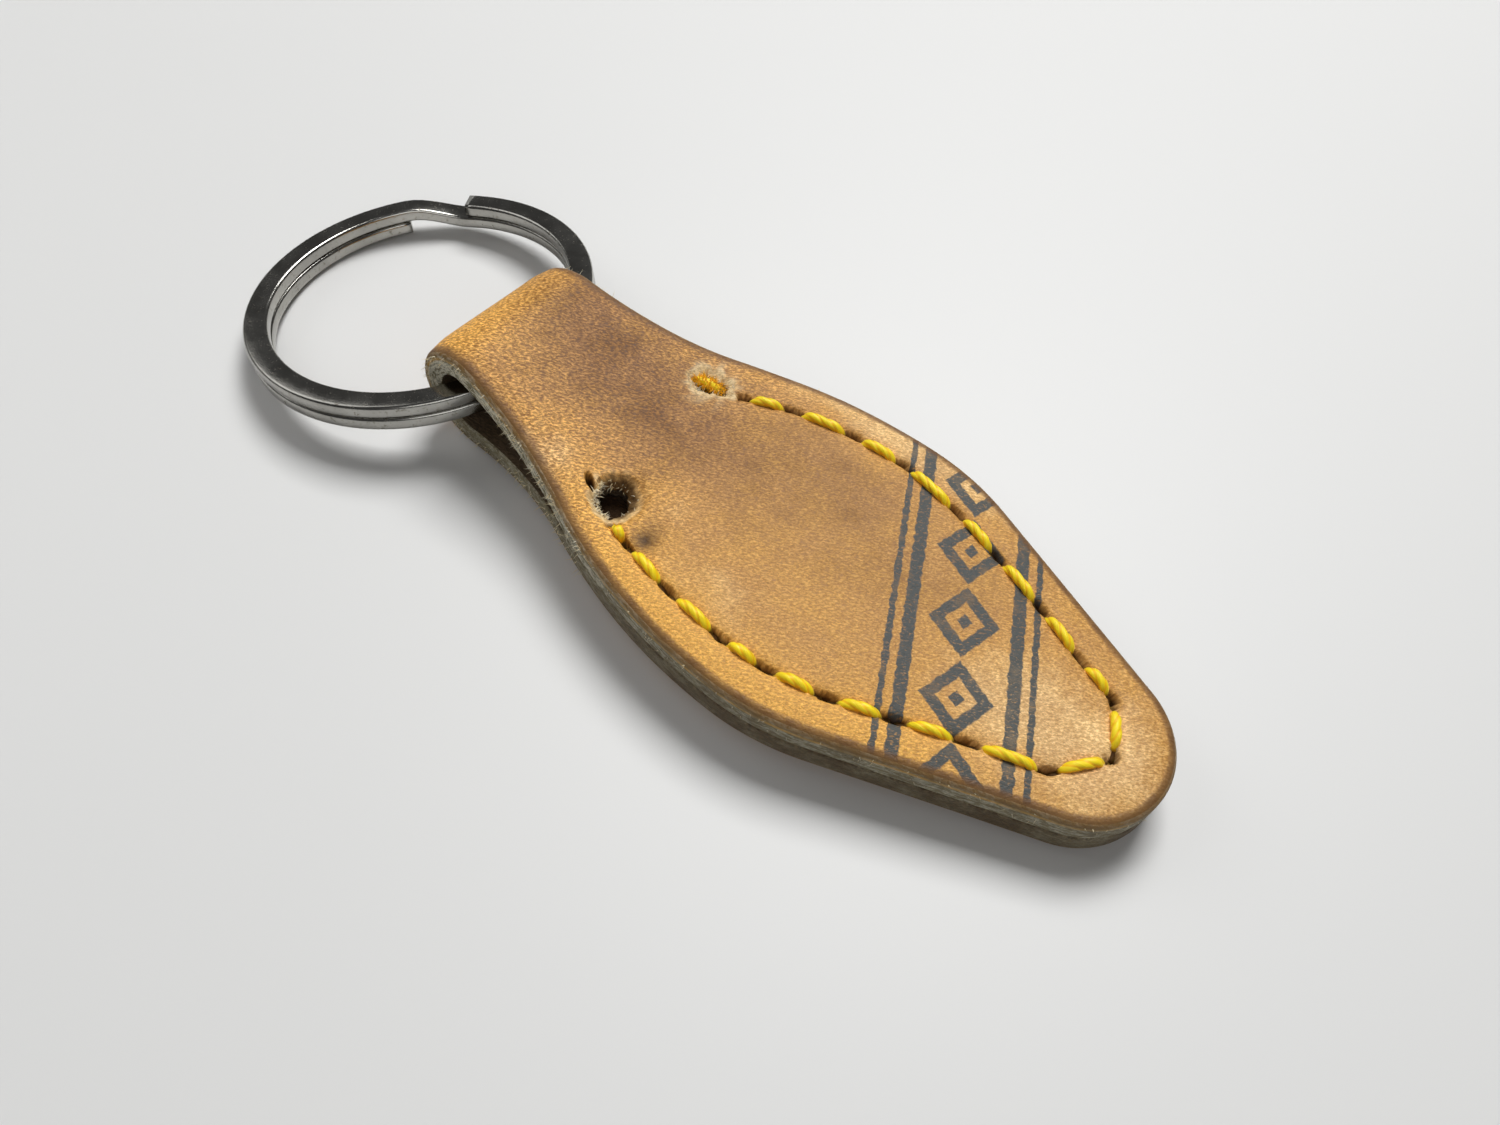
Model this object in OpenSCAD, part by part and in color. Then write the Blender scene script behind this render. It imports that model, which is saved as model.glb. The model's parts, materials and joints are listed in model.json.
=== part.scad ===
// Leather key fob: one leather strip folded over a split ring and sewn to itself.
// Millimetres. +X runs from the ring to the rounded tip and +Z is up. The fob lies on its back on Z = 0,
// where its fold, its tip and the far side of the ring touch the surface under it.

/* [Leather] */
// Length from the outside of the fold to the tip
fob_length = 68; // [60:1:90]
// Thickness of one layer of leather
leather_t = 2.45; // [1.8:0.05:3.2]
// Width of the neck at the fold
neck_w = 14.6; // [10:0.2:18]
// Straight length of the neck, from the outside of the fold
neck_length = 2.6; // [1:0.2:8]
// Greatest width
belly_w = 29.4; // [22:0.2:36]
// Distance from the greatest width to the tip
taper_length = 29.5; // [24:0.5:40]
// Radius of the edge beyond the greatest width
belly_r = 22; // [16:1:32]
// Radius of the rounded tip
tip_r = 7.2; // [5.6:0.2:9]
// Share of the flare from neck to belly that curves inwards
hollow_share = 0.48; // [0.3:0.02:0.6]
// Distance from the outside of the fold to where the leaves lie flat on each other
flat_x = 26; // [23:1:32]
// Radius of the bend in which each leaf comes to lie on the other
bend_r = 60; // [30:5:80]
// Gap between the two leaves where they are sewn
leaf_gap = 0.1; // [0.05:0.05:0.3]

/* [Split ring] */
// Outer diameter of the ring
ring_od = 32; // [28:1:38]
// Width of the flat wire, across the ring
wire_w = 2.2; // [1.6:0.1:3]
// Thickness of the flat wire, one turn
wire_t = 1.25; // [0.8:0.05:1.6]
// Chamfer on the wire's edges
wire_chamfer = 0.28; // [0.1:0.02:0.38]
// Gap between the two turns
turn_gap = 0.05; // [0.03:0.01:0.2]
// Arc over which the wire steps from one turn to the other
jog_angle = 24; // [16:1:40]
// Place of that step round the ring, from the side nearest the tip
jog_place = 133; // [90:1:270]
// Clearance round the wire as it swings in the fold
ring_clearance = 0.3; // [0.15:0.05:0.8]

/* [Seam] */
// Thickness of the thread
thread_d = 0.9; // [0.6:0.05:1.2]
// Distance of the seam from the edge
seam_inset = 3; // [2.2:0.1:3.8]
// Distance between needle holes, about
stitch_pitch = 5.2; // [4:0.1:7]
// Start of the seam, measured back from the greatest width
seam_start = 14.6; // [10:0.2:15]
// End of the seam on the other side, measured back from the greatest width
seam_end = 17; // [10:0.2:17.2]
// Length of the first, short stitch
first_stitch = 2.4; // [2.4:0.1:4]
// Clearance round the thread
thread_clearance = 0.06; // [0.03:0.01:0.12]

/* [Old holes in the front leaf] */
// Diameter of the round hole beside the start of the seam
round_hole_d = 2.8; // [2:0.1:3]
// Distance of the round hole back from the greatest width
round_hole_back = 16.2; // [16:0.1:18]
// Distance of the round hole from the edge
round_hole_inset = 4.7; // [4.6:0.1:7]
// Diameter of the worn hole at the end of the seam
worn_hole_d = 2; // [1.4:0.1:2.4]
// Length by which the worn hole is drawn out
worn_hole_draw = 1.4; // [0.4:0.1:2.4]

/* [Hidden] */

cut_over = 1;
arc_steps = 12;
smooth = 96;

// Ring: the wire's arc inside the neck sets the room that the fold needs
ring_r = ring_od / 2;
ring_inner_r = ring_r - wire_w;
ring_h = 2 * wire_t + turn_gap;
level_z = (wire_t + turn_gap) / 2;
turn_angle = 360 - jog_angle;
turn_steps = 56;
jog_steps = 6;
wire_reach = sqrt(pow(ring_inner_r, 2) - pow(neck_w / 2, 2));
pivot_r = (ring_r + wire_reach) / 2;
tunnel_r = norm([(ring_r - wire_reach) / 2, ring_h / 2]) + ring_clearance;

// Fold: the tunnel's centre is the axis that the ring swings on. Heights count from between the leaves.
fold_r = tunnel_r + leather_t;
sewn_half = leather_t + leaf_gap / 2;
bend_centre = [flat_x, sewn_half + bend_r];
to_bend = bend_centre - [fold_r, 0];
leaf_slope = atan2(to_bend[0], to_bend[1]) - acos((fold_r + bend_r) / norm(to_bend));

// At rest the tip and the ring's far side both come down to the surface under the fold
tip_reach = fob_length - fold_r;
fob_tilt = down_angle(tip_reach, sewn_half);
ring_reach = pivot_r + ring_r;
ring_tilt = down_angle(ring_reach, ring_h / 2);
pivot_x = (end_x(ring_reach, ring_h / 2, ring_tilt) - end_x(tip_reach, sewn_half, fob_tilt)) / 2;

// Edge: arcs round the tip, the belly and the flare, each tangent to the next
belly_half = belly_w / 2;
belly_x = fob_length - taper_length;
tip_centre = [fob_length - tip_r, 0];
belly_centre = [belly_x, belly_half - belly_r];
to_tip = tip_centre - belly_centre;
taper_normal = atan2(to_tip[1], to_tip[0]) + acos((belly_r - tip_r) / norm(to_tip));
flare_length = belly_x - neck_length;
flare_drop = belly_half - neck_w / 2;
flare_angle = 2 * atan2(flare_drop, flare_length);
flare_sum_r = flare_drop / (1 - cos(flare_angle));
hollow_r = flare_sum_r * hollow_share;
shoulder_r = flare_sum_r - hollow_r;
shoulder_centre = [belly_x, belly_half - shoulder_r];
hollow_centre = [neck_length, neck_w / 2 + hollow_r];

// Seam: lengths along it from the middle of the tip, where one needle hole lies
seam_tip_len = arc_len(tip_r - seam_inset, taper_normal);
seam_taper_len = norm(along(tip_centre, tip_r - seam_inset, taper_normal)
    - along(belly_centre, belly_r - seam_inset, taper_normal));
seam_belly_len = arc_len(belly_r - seam_inset, 90 - taper_normal);
seam_to_belly = seam_tip_len + seam_taper_len + seam_belly_len;
seam_shoulder_r = shoulder_r - seam_inset;
seam_first = -seam_to_belly - arc_len(seam_shoulder_r, asin(seam_start / seam_shoulder_r));
seam_last = seam_to_belly + arc_len(seam_shoulder_r, asin(seam_end / seam_shoulder_r));
second_hole = seam_first + first_stitch;
near_stitches = round(-second_hole / stitch_pitch);
far_stitches = round(seam_last / stitch_pitch);
needle_holes = [seam_first,
    for (i = [near_stitches : -1 : 0]) second_hole * i / near_stitches,
    for (i = [1 : far_stitches]) seam_last * i / far_stitches];

// Thread: legs side by side in each needle hole, the two threads meeting between the leaves
thread_r = thread_d / 2;
leg_offset = thread_r + thread_clearance / 2;
slit_w = thread_d + 2 * thread_clearance;
slit_length = 2 * leg_offset + thread_d + 2 * thread_clearance;
thread_lift = thread_r + thread_clearance;
groove_w = slit_w + 2 * thread_clearance;
groove_depth = thread_d + 2 * thread_clearance;
thread_sides = 6;

// Angle at which an arm of this reach and half thickness comes down from the fold's axis,
// and how far out its end then lies
function down_angle(reach, half) = asin(fold_r / norm([reach, half])) - atan2(half, reach);
function end_x(reach, half, angle) = reach * cos(angle) + half * sin(angle);

function arc_len(r, angle) = r * angle * PI / 180;
function arc_angle(r, length) = length / r * 180 / PI;
function along(centre, r, angle) = centre + r * [cos(angle), sin(angle)];
function arc(centre, r, from, to) =
    [for (i = [0 : arc_steps]) along(centre, r, from + (to - from) * i / arc_steps)];
function mirrored(points) = [for (i = [len(points) - 1 : -1 : 0]) [points[i][0], -points[i][1]]];

// One side of the edge from the tip to the neck, moved inwards by inset
function edge_half(inset) = concat(
    arc(tip_centre, tip_r - inset, 0, taper_normal),
    arc(belly_centre, belly_r - inset, taper_normal, 90),
    arc(shoulder_centre, shoulder_r - inset, 90, 90 + flare_angle),
    arc(hollow_centre, hollow_r + inset, 270 + flare_angle, 270),
    [[-cut_over, neck_w / 2 - inset]]);
function edge(inset) = concat(edge_half(inset), mirrored(edge_half(inset)));

// Outward direction of the seam at length q from the middle of the tip
function seam_normal_side(q) =
    q < seam_tip_len ? arc_angle(tip_r - seam_inset, q) :
    q < seam_tip_len + seam_taper_len ? taper_normal :
    q < seam_to_belly ?
        taper_normal + arc_angle(belly_r - seam_inset, q - seam_tip_len - seam_taper_len) :
    90 + arc_angle(seam_shoulder_r, q - seam_to_belly);
function seam_normal(q) = sign(q) * seam_normal_side(abs(q));

// Point of the seam at length q from the middle of the tip
function seam_point_side(q, angle) =
    q < seam_tip_len ? along(tip_centre, tip_r - seam_inset, angle) :
    q < seam_tip_len + seam_taper_len ?
        along(tip_centre, tip_r - seam_inset, angle) + (q - seam_tip_len) * [-sin(angle), cos(angle)] :
    q < seam_to_belly ? along(belly_centre, belly_r - seam_inset, angle) :
    along(shoulder_centre, seam_shoulder_r, angle);
function seam_point(q) = let (p = seam_point_side(abs(q), seam_normal_side(abs(q))))
    [p[0], q < 0 ? -p[1] : p[1]];

// Height of the front leaf's grain side at x
function front_z(x) = let (bend_x = flat_x - bend_r * sin(leaf_slope))
    x >= flat_x ? sewn_half :
    x >= bend_x ? bend_centre[1] - sqrt(pow(bend_r, 2) - pow(flat_x - x, 2)) :
    bend_centre[1] - bend_r * cos(leaf_slope) + (bend_x - x) * tan(leaf_slope);

// Side view of the front leaf, depth below its grain side, from past the tip to the fold
function leaf_side(depth) = concat(
    [[fob_length + cut_over, sewn_half - depth]],
    arc(bend_centre, bend_r + depth, 270, 270 - leaf_slope),
    [along([fold_r, 0], fold_r - depth, 90 - leaf_slope)]);

// Side view of both leaves, each depth below its grain side, or of the space between them
module leaves_side(depth) {
    translate([fold_r, 0]) circle(fold_r - depth, $fn = smooth);
    polygon(concat(leaf_side(depth), mirrored(leaf_side(depth))));
}

// Stand a side view up and stretch it across the part
module across(width) {
    translate([0, width / 2, 0]) rotate([90, 0, 0]) linear_extrude(width) children();
}

module needle_slits() {
    for (q = needle_holes)
        translate([seam_point(q)[0], seam_point(q)[1], 0])
            rotate([0, 0, seam_normal(q)])
                translate([-slit_w / 2, -slit_length / 2, groove_depth / 2 - sewn_half])
                    cube([slit_w, slit_length, 2 * fold_r]);
}

// Groove pressed into the back, in which the back thread lies flush
module back_groove() {
    translate([0, 0, -2 * fold_r])
        linear_extrude(2 * fold_r - sewn_half + groove_depth)
            difference() {
                polygon(edge(seam_inset - groove_w / 2));
                polygon(edge(seam_inset + groove_w / 2));
                translate([-2 * cut_over, -belly_half])
                    square([seam_point(seam_first - slit_length)[0] + 2 * cut_over, belly_half]);
                translate([-2 * cut_over, 0])
                    square([seam_point(seam_last + slit_length)[0] + 2 * cut_over, belly_half]);
            }
}

// Holes that the leather already had, in the front leaf only
module old_holes() {
    round_angle = asin(round_hole_back / (shoulder_r - round_hole_inset));
    round_at = along(shoulder_centre, shoulder_r - round_hole_inset, 90 + round_angle);
    translate([round_at[0], -round_at[1], 0])
        cylinder(d = round_hole_d, h = 2 * fold_r, $fn = smooth);
    worn_at = seam_point(seam_last);
    for (side = [0, 1])
        translate([worn_at[0] - side * worn_hole_draw, worn_at[1] - side * worn_hole_d / 3, 0])
            cylinder(d = worn_hole_d, h = 2 * fold_r, $fn = smooth);
}

// Lay the fob down so that its fold and its tip touch the surface under it
module lying() {
    translate([pivot_x, 0, fold_r])
        rotate([0, fob_tilt, 0])
            translate([-fold_r, 0, 0])
                children();
}

module leather_body() {
    color("peru")
        lying()
            difference() {
                intersection() {
                    across(2 * belly_w) leaves_side(0);
                    translate([0, 0, -2 * fold_r])
                        linear_extrude(4 * fold_r) polygon(edge(0));
                }
                across(3 * belly_w) leaves_side(leather_t);
                needle_slits();
                back_groove();
                old_holes();
            }
}

// Points [q, z, slope] of a thread as it dips into the needle hole at q and comes out again.
// level gives the height of the stitches at a place on the seam, and foot that of the dip's lowest point.
function hole_dip(q, level, foot) = [
    for (a = [0 : 45 : 90]) let (at = q - leg_offset * (2 - sin(a)))
        [at, level(at) - leg_offset * (1 - cos(a)), -a],
    for (a = [0 : 45 : 180])
        [q - leg_offset * cos(a), foot + leg_offset * (1 - sin(a)), a - 90],
    for (a = [90 : -45 : 0]) let (at = q + leg_offset * (2 - sin(a)))
        [at, level(at) - leg_offset * (1 - cos(a)), a]];

// Points of a whole thread: a dip at each needle hole, and the middle of the stitch before it
function thread_path(level, foot) = [
    for (i = [0 : len(needle_holes) - 1]) let (q = needle_holes[i])
        each concat(
            i == 0 ? [] : let (m = (q + needle_holes[i - 1]) / 2) [[m, level(m), 0]],
            hole_dip(q, level, foot))];

// Six-sided section of a thread at a [q, z, slope] point
function thread_ring(p) = let (
        base = seam_point(p[0]),
        angle = seam_normal(p[0]),
        out = [cos(angle), sin(angle), 0],
        ahead = [-sin(angle), cos(angle), 0],
        up = -sin(p[2]) * ahead + cos(p[2]) * [0, 0, 1])
    [for (i = [0 : thread_sides - 1]) let (a = 360 * (i + 0.5) / thread_sides)
        [base[0], base[1], p[1]] + thread_r * (cos(a) * out + sin(a) * up)];

module swept(rings, sides) {
    count = len(rings);
    points = [for (r = rings) for (p = r) p];
    walls = [for (i = [0 : count - 2]) for (j = [0 : sides - 1]) let (k = (j + 1) % sides)
        each [[i * sides + j, i * sides + k, (i + 1) * sides + k],
              [i * sides + j, (i + 1) * sides + k, (i + 1) * sides + j]]];
    first_cap = [for (j = [sides - 1 : -1 : 0]) j];
    last_cap = [for (j = [0 : sides - 1]) (count - 1) * sides + j];
    polyhedron(points, concat(walls, [first_cap], [last_cap]));
}

// Needle thread: its stitches show on the grain side
front_level = function (q) front_z(seam_point(q)[0]) + thread_lift;

module front_thread() {
    color("gold")
        lying()
            swept([for (p = thread_path(front_level, thread_lift)) thread_ring(p)], thread_sides);
}

// Bobbin thread: its stitches lie in the groove of the back, so its path is the mirror image of one above
back_level = function (q) front_z(seam_point(q)[0]) - thread_lift;

module back_thread() {
    color("gold")
        lying()
            swept([for (p = thread_path(back_level, thread_lift)) thread_ring([p[0], -p[1], -p[2]])],
                thread_sides);
}

// Flat wire's section, [across, up], round its own middle
wire_section = let (w = wire_w / 2, h = wire_t / 2, c = wire_chamfer) [
    [w - c, -h], [-w + c, -h], [-w, -h + c], [-w, h - c], [-w + c, h], [w - c, h], [w, h - c], [w, -h + c]];

// Path of the wire, [angle, height]: one turn on each level, and the step between them
function eased(t) = t * t * (3 - 2 * t);
wire_path = concat(
    [for (i = [0 : turn_steps]) [(i / turn_steps - 1) * turn_angle, level_z]],
    [for (i = [1 : jog_steps - 1]) let (t = i / jog_steps) [jog_angle * t, level_z * (1 - 2 * eased(t))]],
    [for (i = [0 : turn_steps]) [jog_angle + i / turn_steps * turn_angle, -level_z]]);

// The section where the path is at p, turned so that the step comes at its place
function wire_ring(p) = let (
        angle = jog_place + jog_angle / 2 - p[0],
        r = (ring_r + ring_inner_r) / 2)
    [for (s = wire_section) [(r + s[0]) * cos(angle), (r + s[0]) * sin(angle), p[1] + s[1]]];

module split_ring() {
    color("silver")
        translate([pivot_x, 0, fold_r])
            rotate([0, -ring_tilt, 0])
                translate([-pivot_r, 0, 0])
                    swept([for (p = wire_path) wire_ring(p)], len(wire_section));
}

leather_body();
front_thread();
back_thread();
split_ring();
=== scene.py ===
"""Leather key fob: its leather, seam and split ring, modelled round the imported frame."""

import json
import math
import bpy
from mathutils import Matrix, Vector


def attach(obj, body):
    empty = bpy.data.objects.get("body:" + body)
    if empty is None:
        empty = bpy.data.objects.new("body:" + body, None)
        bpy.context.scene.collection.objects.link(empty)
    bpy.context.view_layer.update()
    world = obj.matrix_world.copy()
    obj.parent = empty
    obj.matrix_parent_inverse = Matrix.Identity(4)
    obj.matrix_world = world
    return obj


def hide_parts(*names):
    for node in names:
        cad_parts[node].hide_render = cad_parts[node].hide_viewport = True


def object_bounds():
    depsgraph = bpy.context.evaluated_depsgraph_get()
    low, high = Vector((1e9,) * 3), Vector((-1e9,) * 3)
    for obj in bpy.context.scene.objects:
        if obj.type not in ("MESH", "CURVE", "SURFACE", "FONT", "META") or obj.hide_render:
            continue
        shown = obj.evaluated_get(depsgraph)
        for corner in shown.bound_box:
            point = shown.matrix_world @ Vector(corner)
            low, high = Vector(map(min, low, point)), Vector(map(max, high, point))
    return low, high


bl_info = {
    "name": "Leather Key Fob",
    "version": (1, 0, 0),
    "blender": (4, 5, 0),
    "location": "3D View > Sidebar > Key Fob",
    "description": "Models a folded and sewn leather key fob on its split ring",
    "category": "Mesh",
}

import bmesh
import bpy
import numpy as np
from mathutils import Matrix, Vector, noise
from mathutils.kdtree import KDTree

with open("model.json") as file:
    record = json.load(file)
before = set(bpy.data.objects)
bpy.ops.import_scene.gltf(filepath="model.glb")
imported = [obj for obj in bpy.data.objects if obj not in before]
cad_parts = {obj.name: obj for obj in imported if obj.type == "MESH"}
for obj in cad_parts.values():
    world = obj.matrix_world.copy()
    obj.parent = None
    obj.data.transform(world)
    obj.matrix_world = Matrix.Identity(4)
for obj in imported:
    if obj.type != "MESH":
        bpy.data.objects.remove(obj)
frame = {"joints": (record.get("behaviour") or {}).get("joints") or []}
cad_low, cad_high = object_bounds()
swing_axis = Vector(frame["joints"][0]["pos_m"])

MM = 0.001


# Settings

def size(name, millimetres, description):
    return bpy.props.FloatProperty(
        name=name, description=description, default=millimetres * MM,
        min=0.0, precision=5, subtype="DISTANCE", unit="LENGTH")


def share(name, value, description):
    return bpy.props.FloatProperty(
        name=name, description=description, default=value, min=0.0, max=1.0, subtype="FACTOR")


def angle(name, degrees, description):
    return bpy.props.FloatProperty(
        name=name, description=description, default=math.radians(degrees), subtype="ANGLE")


def colour(name, value, description):
    return bpy.props.FloatVectorProperty(
        name=name, description=description, default=value, size=3, min=0.0, max=1.0, subtype="COLOR")


class FobLeatherSettings(bpy.types.PropertyGroup):
    length: size("Length", 68, "From the outside of the fold to the tip")
    thickness: size("Thickness", 2.45, "Of one layer of leather")
    neck_width: size("Neck Width", 14.6, "At the fold")
    neck_length: size("Neck Length", 2.6, "Straight part of the neck, from the outside of the fold")
    belly_width: size("Belly Width", 29.4, "Greatest width")
    taper_length: size("Taper Length", 29.5, "From the greatest width to the tip")
    belly_radius: size("Belly Radius", 22, "Radius of the edge beyond the greatest width")
    tip_radius: size("Tip Radius", 7.2, "Radius of the rounded tip")
    hollow_share: share("Hollow Share", 0.48, "Share of the flare that curves inwards")
    flat_from: size("Flat From", 26, "Where the leaves come to lie flat on each other")
    bend_radius: size("Bend Radius", 60, "Bend in which each leaf comes to lie on the other")
    leaf_gap: size("Leaf Gap", 0.1, "Between the two leaves where they are sewn")
    rim_round: size("Rim Rounding", 0.62, "Rounding of the rim on the grain side")
    inner_round: size("Inner Rounding", 0.2, "Rounding of the rim on the flesh side")
    round_hole: size("Round Hole", 2.8, "Diameter of the punched hole")
    grain_tan: colour("Tan Grain", (0.61, 0.325, 0.08), "Main colour of the grain side")
    grain_gold: colour("Golden Grain", (0.83, 0.445, 0.082), "Along the rim and on the fold")
    grain_brown: colour("Brown Grain", (0.225, 0.1, 0.022), "Darker patches of the grain side")
    grain_pink: colour("Reddish Grain", (0.46, 0.24, 0.09), "Faint reddish patches of the grain side")
    grain_pale: colour("Pale Grain", (0.9, 0.61, 0.27), "Worn, paler patches of the grain side")
    torn: colour("Torn Grain", (0.9, 0.74, 0.44), "Torn fibres round the old holes")
    # Near black: painted shade inside the needle holes, the old cut and the punched hole, also the colour of
    # the stain
    pit: colour("Needle Holes", (0.045, 0.019, 0.006), "Inside of the needle holes")
    rim_brown: colour("Rim", (0.3, 0.165, 0.05), "Rounded rim of the grain side")
    burnish: colour("Burnish", (0.115, 0.05, 0.02), "Dark line along the rim")
    edge_pale: colour("Pale Edge", (0.76, 0.71, 0.56), "Whitish fibres of the cut edge")
    edge_olive: colour("Olive Edge", (0.29, 0.25, 0.15), "Open parts of the cut edge")
    # Brown: burnished parts of the cut edge, and on the lower back leaf partly painted shade
    edge_brown: colour("Brown Edge", (0.14, 0.095, 0.048), "Burnished parts of the cut edge")
    # Dark flesh colour: partly the leather's own, partly painted shade inside the fold
    flesh: colour("Flesh Side", (0.15, 0.1, 0.058), "Inside of the fold")
    ink: colour("Old Print", (0.052, 0.066, 0.07), "Worn ink of the plain printed border")


class FobSeamSettings(bpy.types.PropertyGroup):
    thread: size("Thread", 0.9, "Thickness of the thread")
    inset: size("Inset", 3, "Distance of the seam from the edge")
    pitch: size("Pitch", 5.2, "Distance between needle holes")
    start: size("Start", 14.6, "Start of the seam, back from the greatest width")
    end: size("End", 17, "End of the seam on the other side, back from the greatest width")
    first: size("First Stitch", 2.4, "Length of the first, short stitch")
    sink: size("Sink", 0.42, "How far the thread is pulled into the grain side")
    back_depth: size("Back Depth", 0.51, "Depth of the thread's middle under the back")
    twist: size("Twist", 3.3, "Length of thread in one turn of its plies")
    yellow: colour("Yellow", (1.0, 0.76, 0.012), "Main colour of the thread")
    # Amber: painted shade in the twists of the thread and on its sides
    amber_shade: colour("Amber", (1.0, 0.48, 0.004), "Colour in the twists of the thread")
    # Thread drawn into the needle holes is darkened: mostly painted shade, with some soil
    shade_and_soil: colour("Soiled", (0.1, 0.045, 0.008), "Thread that is drawn into the needle holes")


class FobRingSettings(bpy.types.PropertyGroup):
    diameter: size("Diameter", 32, "Outer diameter of the ring")
    wire_width: size("Wire Width", 2.2, "Of the flat wire, across the ring")
    wire_height: size("Wire Height", 1.25, "Of one turn of the wire")
    turn_gap: size("Turn Gap", 0.05, "Between the two turns")
    rounding: size("Rounding", 0.3, "Of the wire's edges")
    jog_angle: angle("Step Angle", 24, "Arc over which the wire steps to the other turn")
    jog_place: angle("Step Place", 133, "Middle of that step round the ring")
    nickel: colour("Nickel", (0.4, 0.39, 0.36), "Plated steel")
    tarnish: colour("Tarnish", (0.25, 0.235, 0.2), "Small worn specks of the plating")


class FobStageSettings(bpy.types.PropertyGroup):
    floor: colour("Floor", (0.72, 0.72, 0.71), "Plain pale floor")
    camera_turn: angle("Camera Turn", 34.794, "Place of the camera round the fob")
    camera_height: angle("Camera Height", 54.496, "Angle of the camera above the floor")
    camera_roll: angle("Camera Roll", 5.155, "Turn of the camera about its own axis")
    camera_distance: size("Camera Distance", 94.553, "From the point on the floor it looks at")
    camera_lens: bpy.props.FloatProperty(
        name="Lens", description="Focal length on a 36 mm wide sensor", default=27.295,
        subtype="DISTANCE_CAMERA")


# Numbers at many points

def running_sum(lengths):
    return np.concatenate(((0,), np.cumsum(lengths)))


def smoothstep(low, high, value):
    t = np.clip((np.asarray(value, float) - low) / (high - low), 0, 1)
    return t * t * (3 - 2 * t)


def fade(low, high, value):
    """Smooth step from 1 at low to 0 at high."""
    return 1 - smoothstep(low, high, value)


def bell(value):
    return np.exp(-value ** 2)


def rough(points, scale, seed):
    """Smooth noise from -1 to 1 at each point, with lumps about as long as scale."""
    shift = Vector((seed * 7.31, seed * 3.17, seed * 5.77))
    return np.array([noise.noise(Vector(p) / scale + shift) for p in points])


def nearest(points):
    """Tree that finds the nearest of these flat points."""
    tree = KDTree(len(points))
    for i, point in enumerate(points):
        tree.insert((*point, 0), i)
    tree.balance()
    return tree


# Shape of the leather strip

# How far each needle hole lies off its even place: ahead along the seam and inwards, in millimetres
STITCH_DRIFT = (
    (0, 0.1), (-0.3, 0.1), (-0.3, 0.25), (0, 0.35), (-1.3, 0.4), (-1.6, 0.3), (-1.9, 0.35),
    (-1.9, 0.45), (-1.3, 0.25), (-0.3, 1.1), (0.5, 0.3), (-1.0, 0.4), (-1.3, 0.3), (-1.3, 0.45),
    (-1.5, 0.7), (-0.6, 0.35), (-0.9, 0.35), (-0.6, 0.55), (-1.3, 1.1))
# Rows of the table that turns a place x into a way w, and how far it runs on past the tip
TABLE_ROWS, TABLE_PAST = 4000, 2 * MM


def down_angle(reach, half):
    """Angle at which an arm of this reach and half thickness comes down from the fold to the floor."""
    return math.asin(swing_axis.z / math.hypot(reach, half)) - math.atan2(half, reach)


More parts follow.
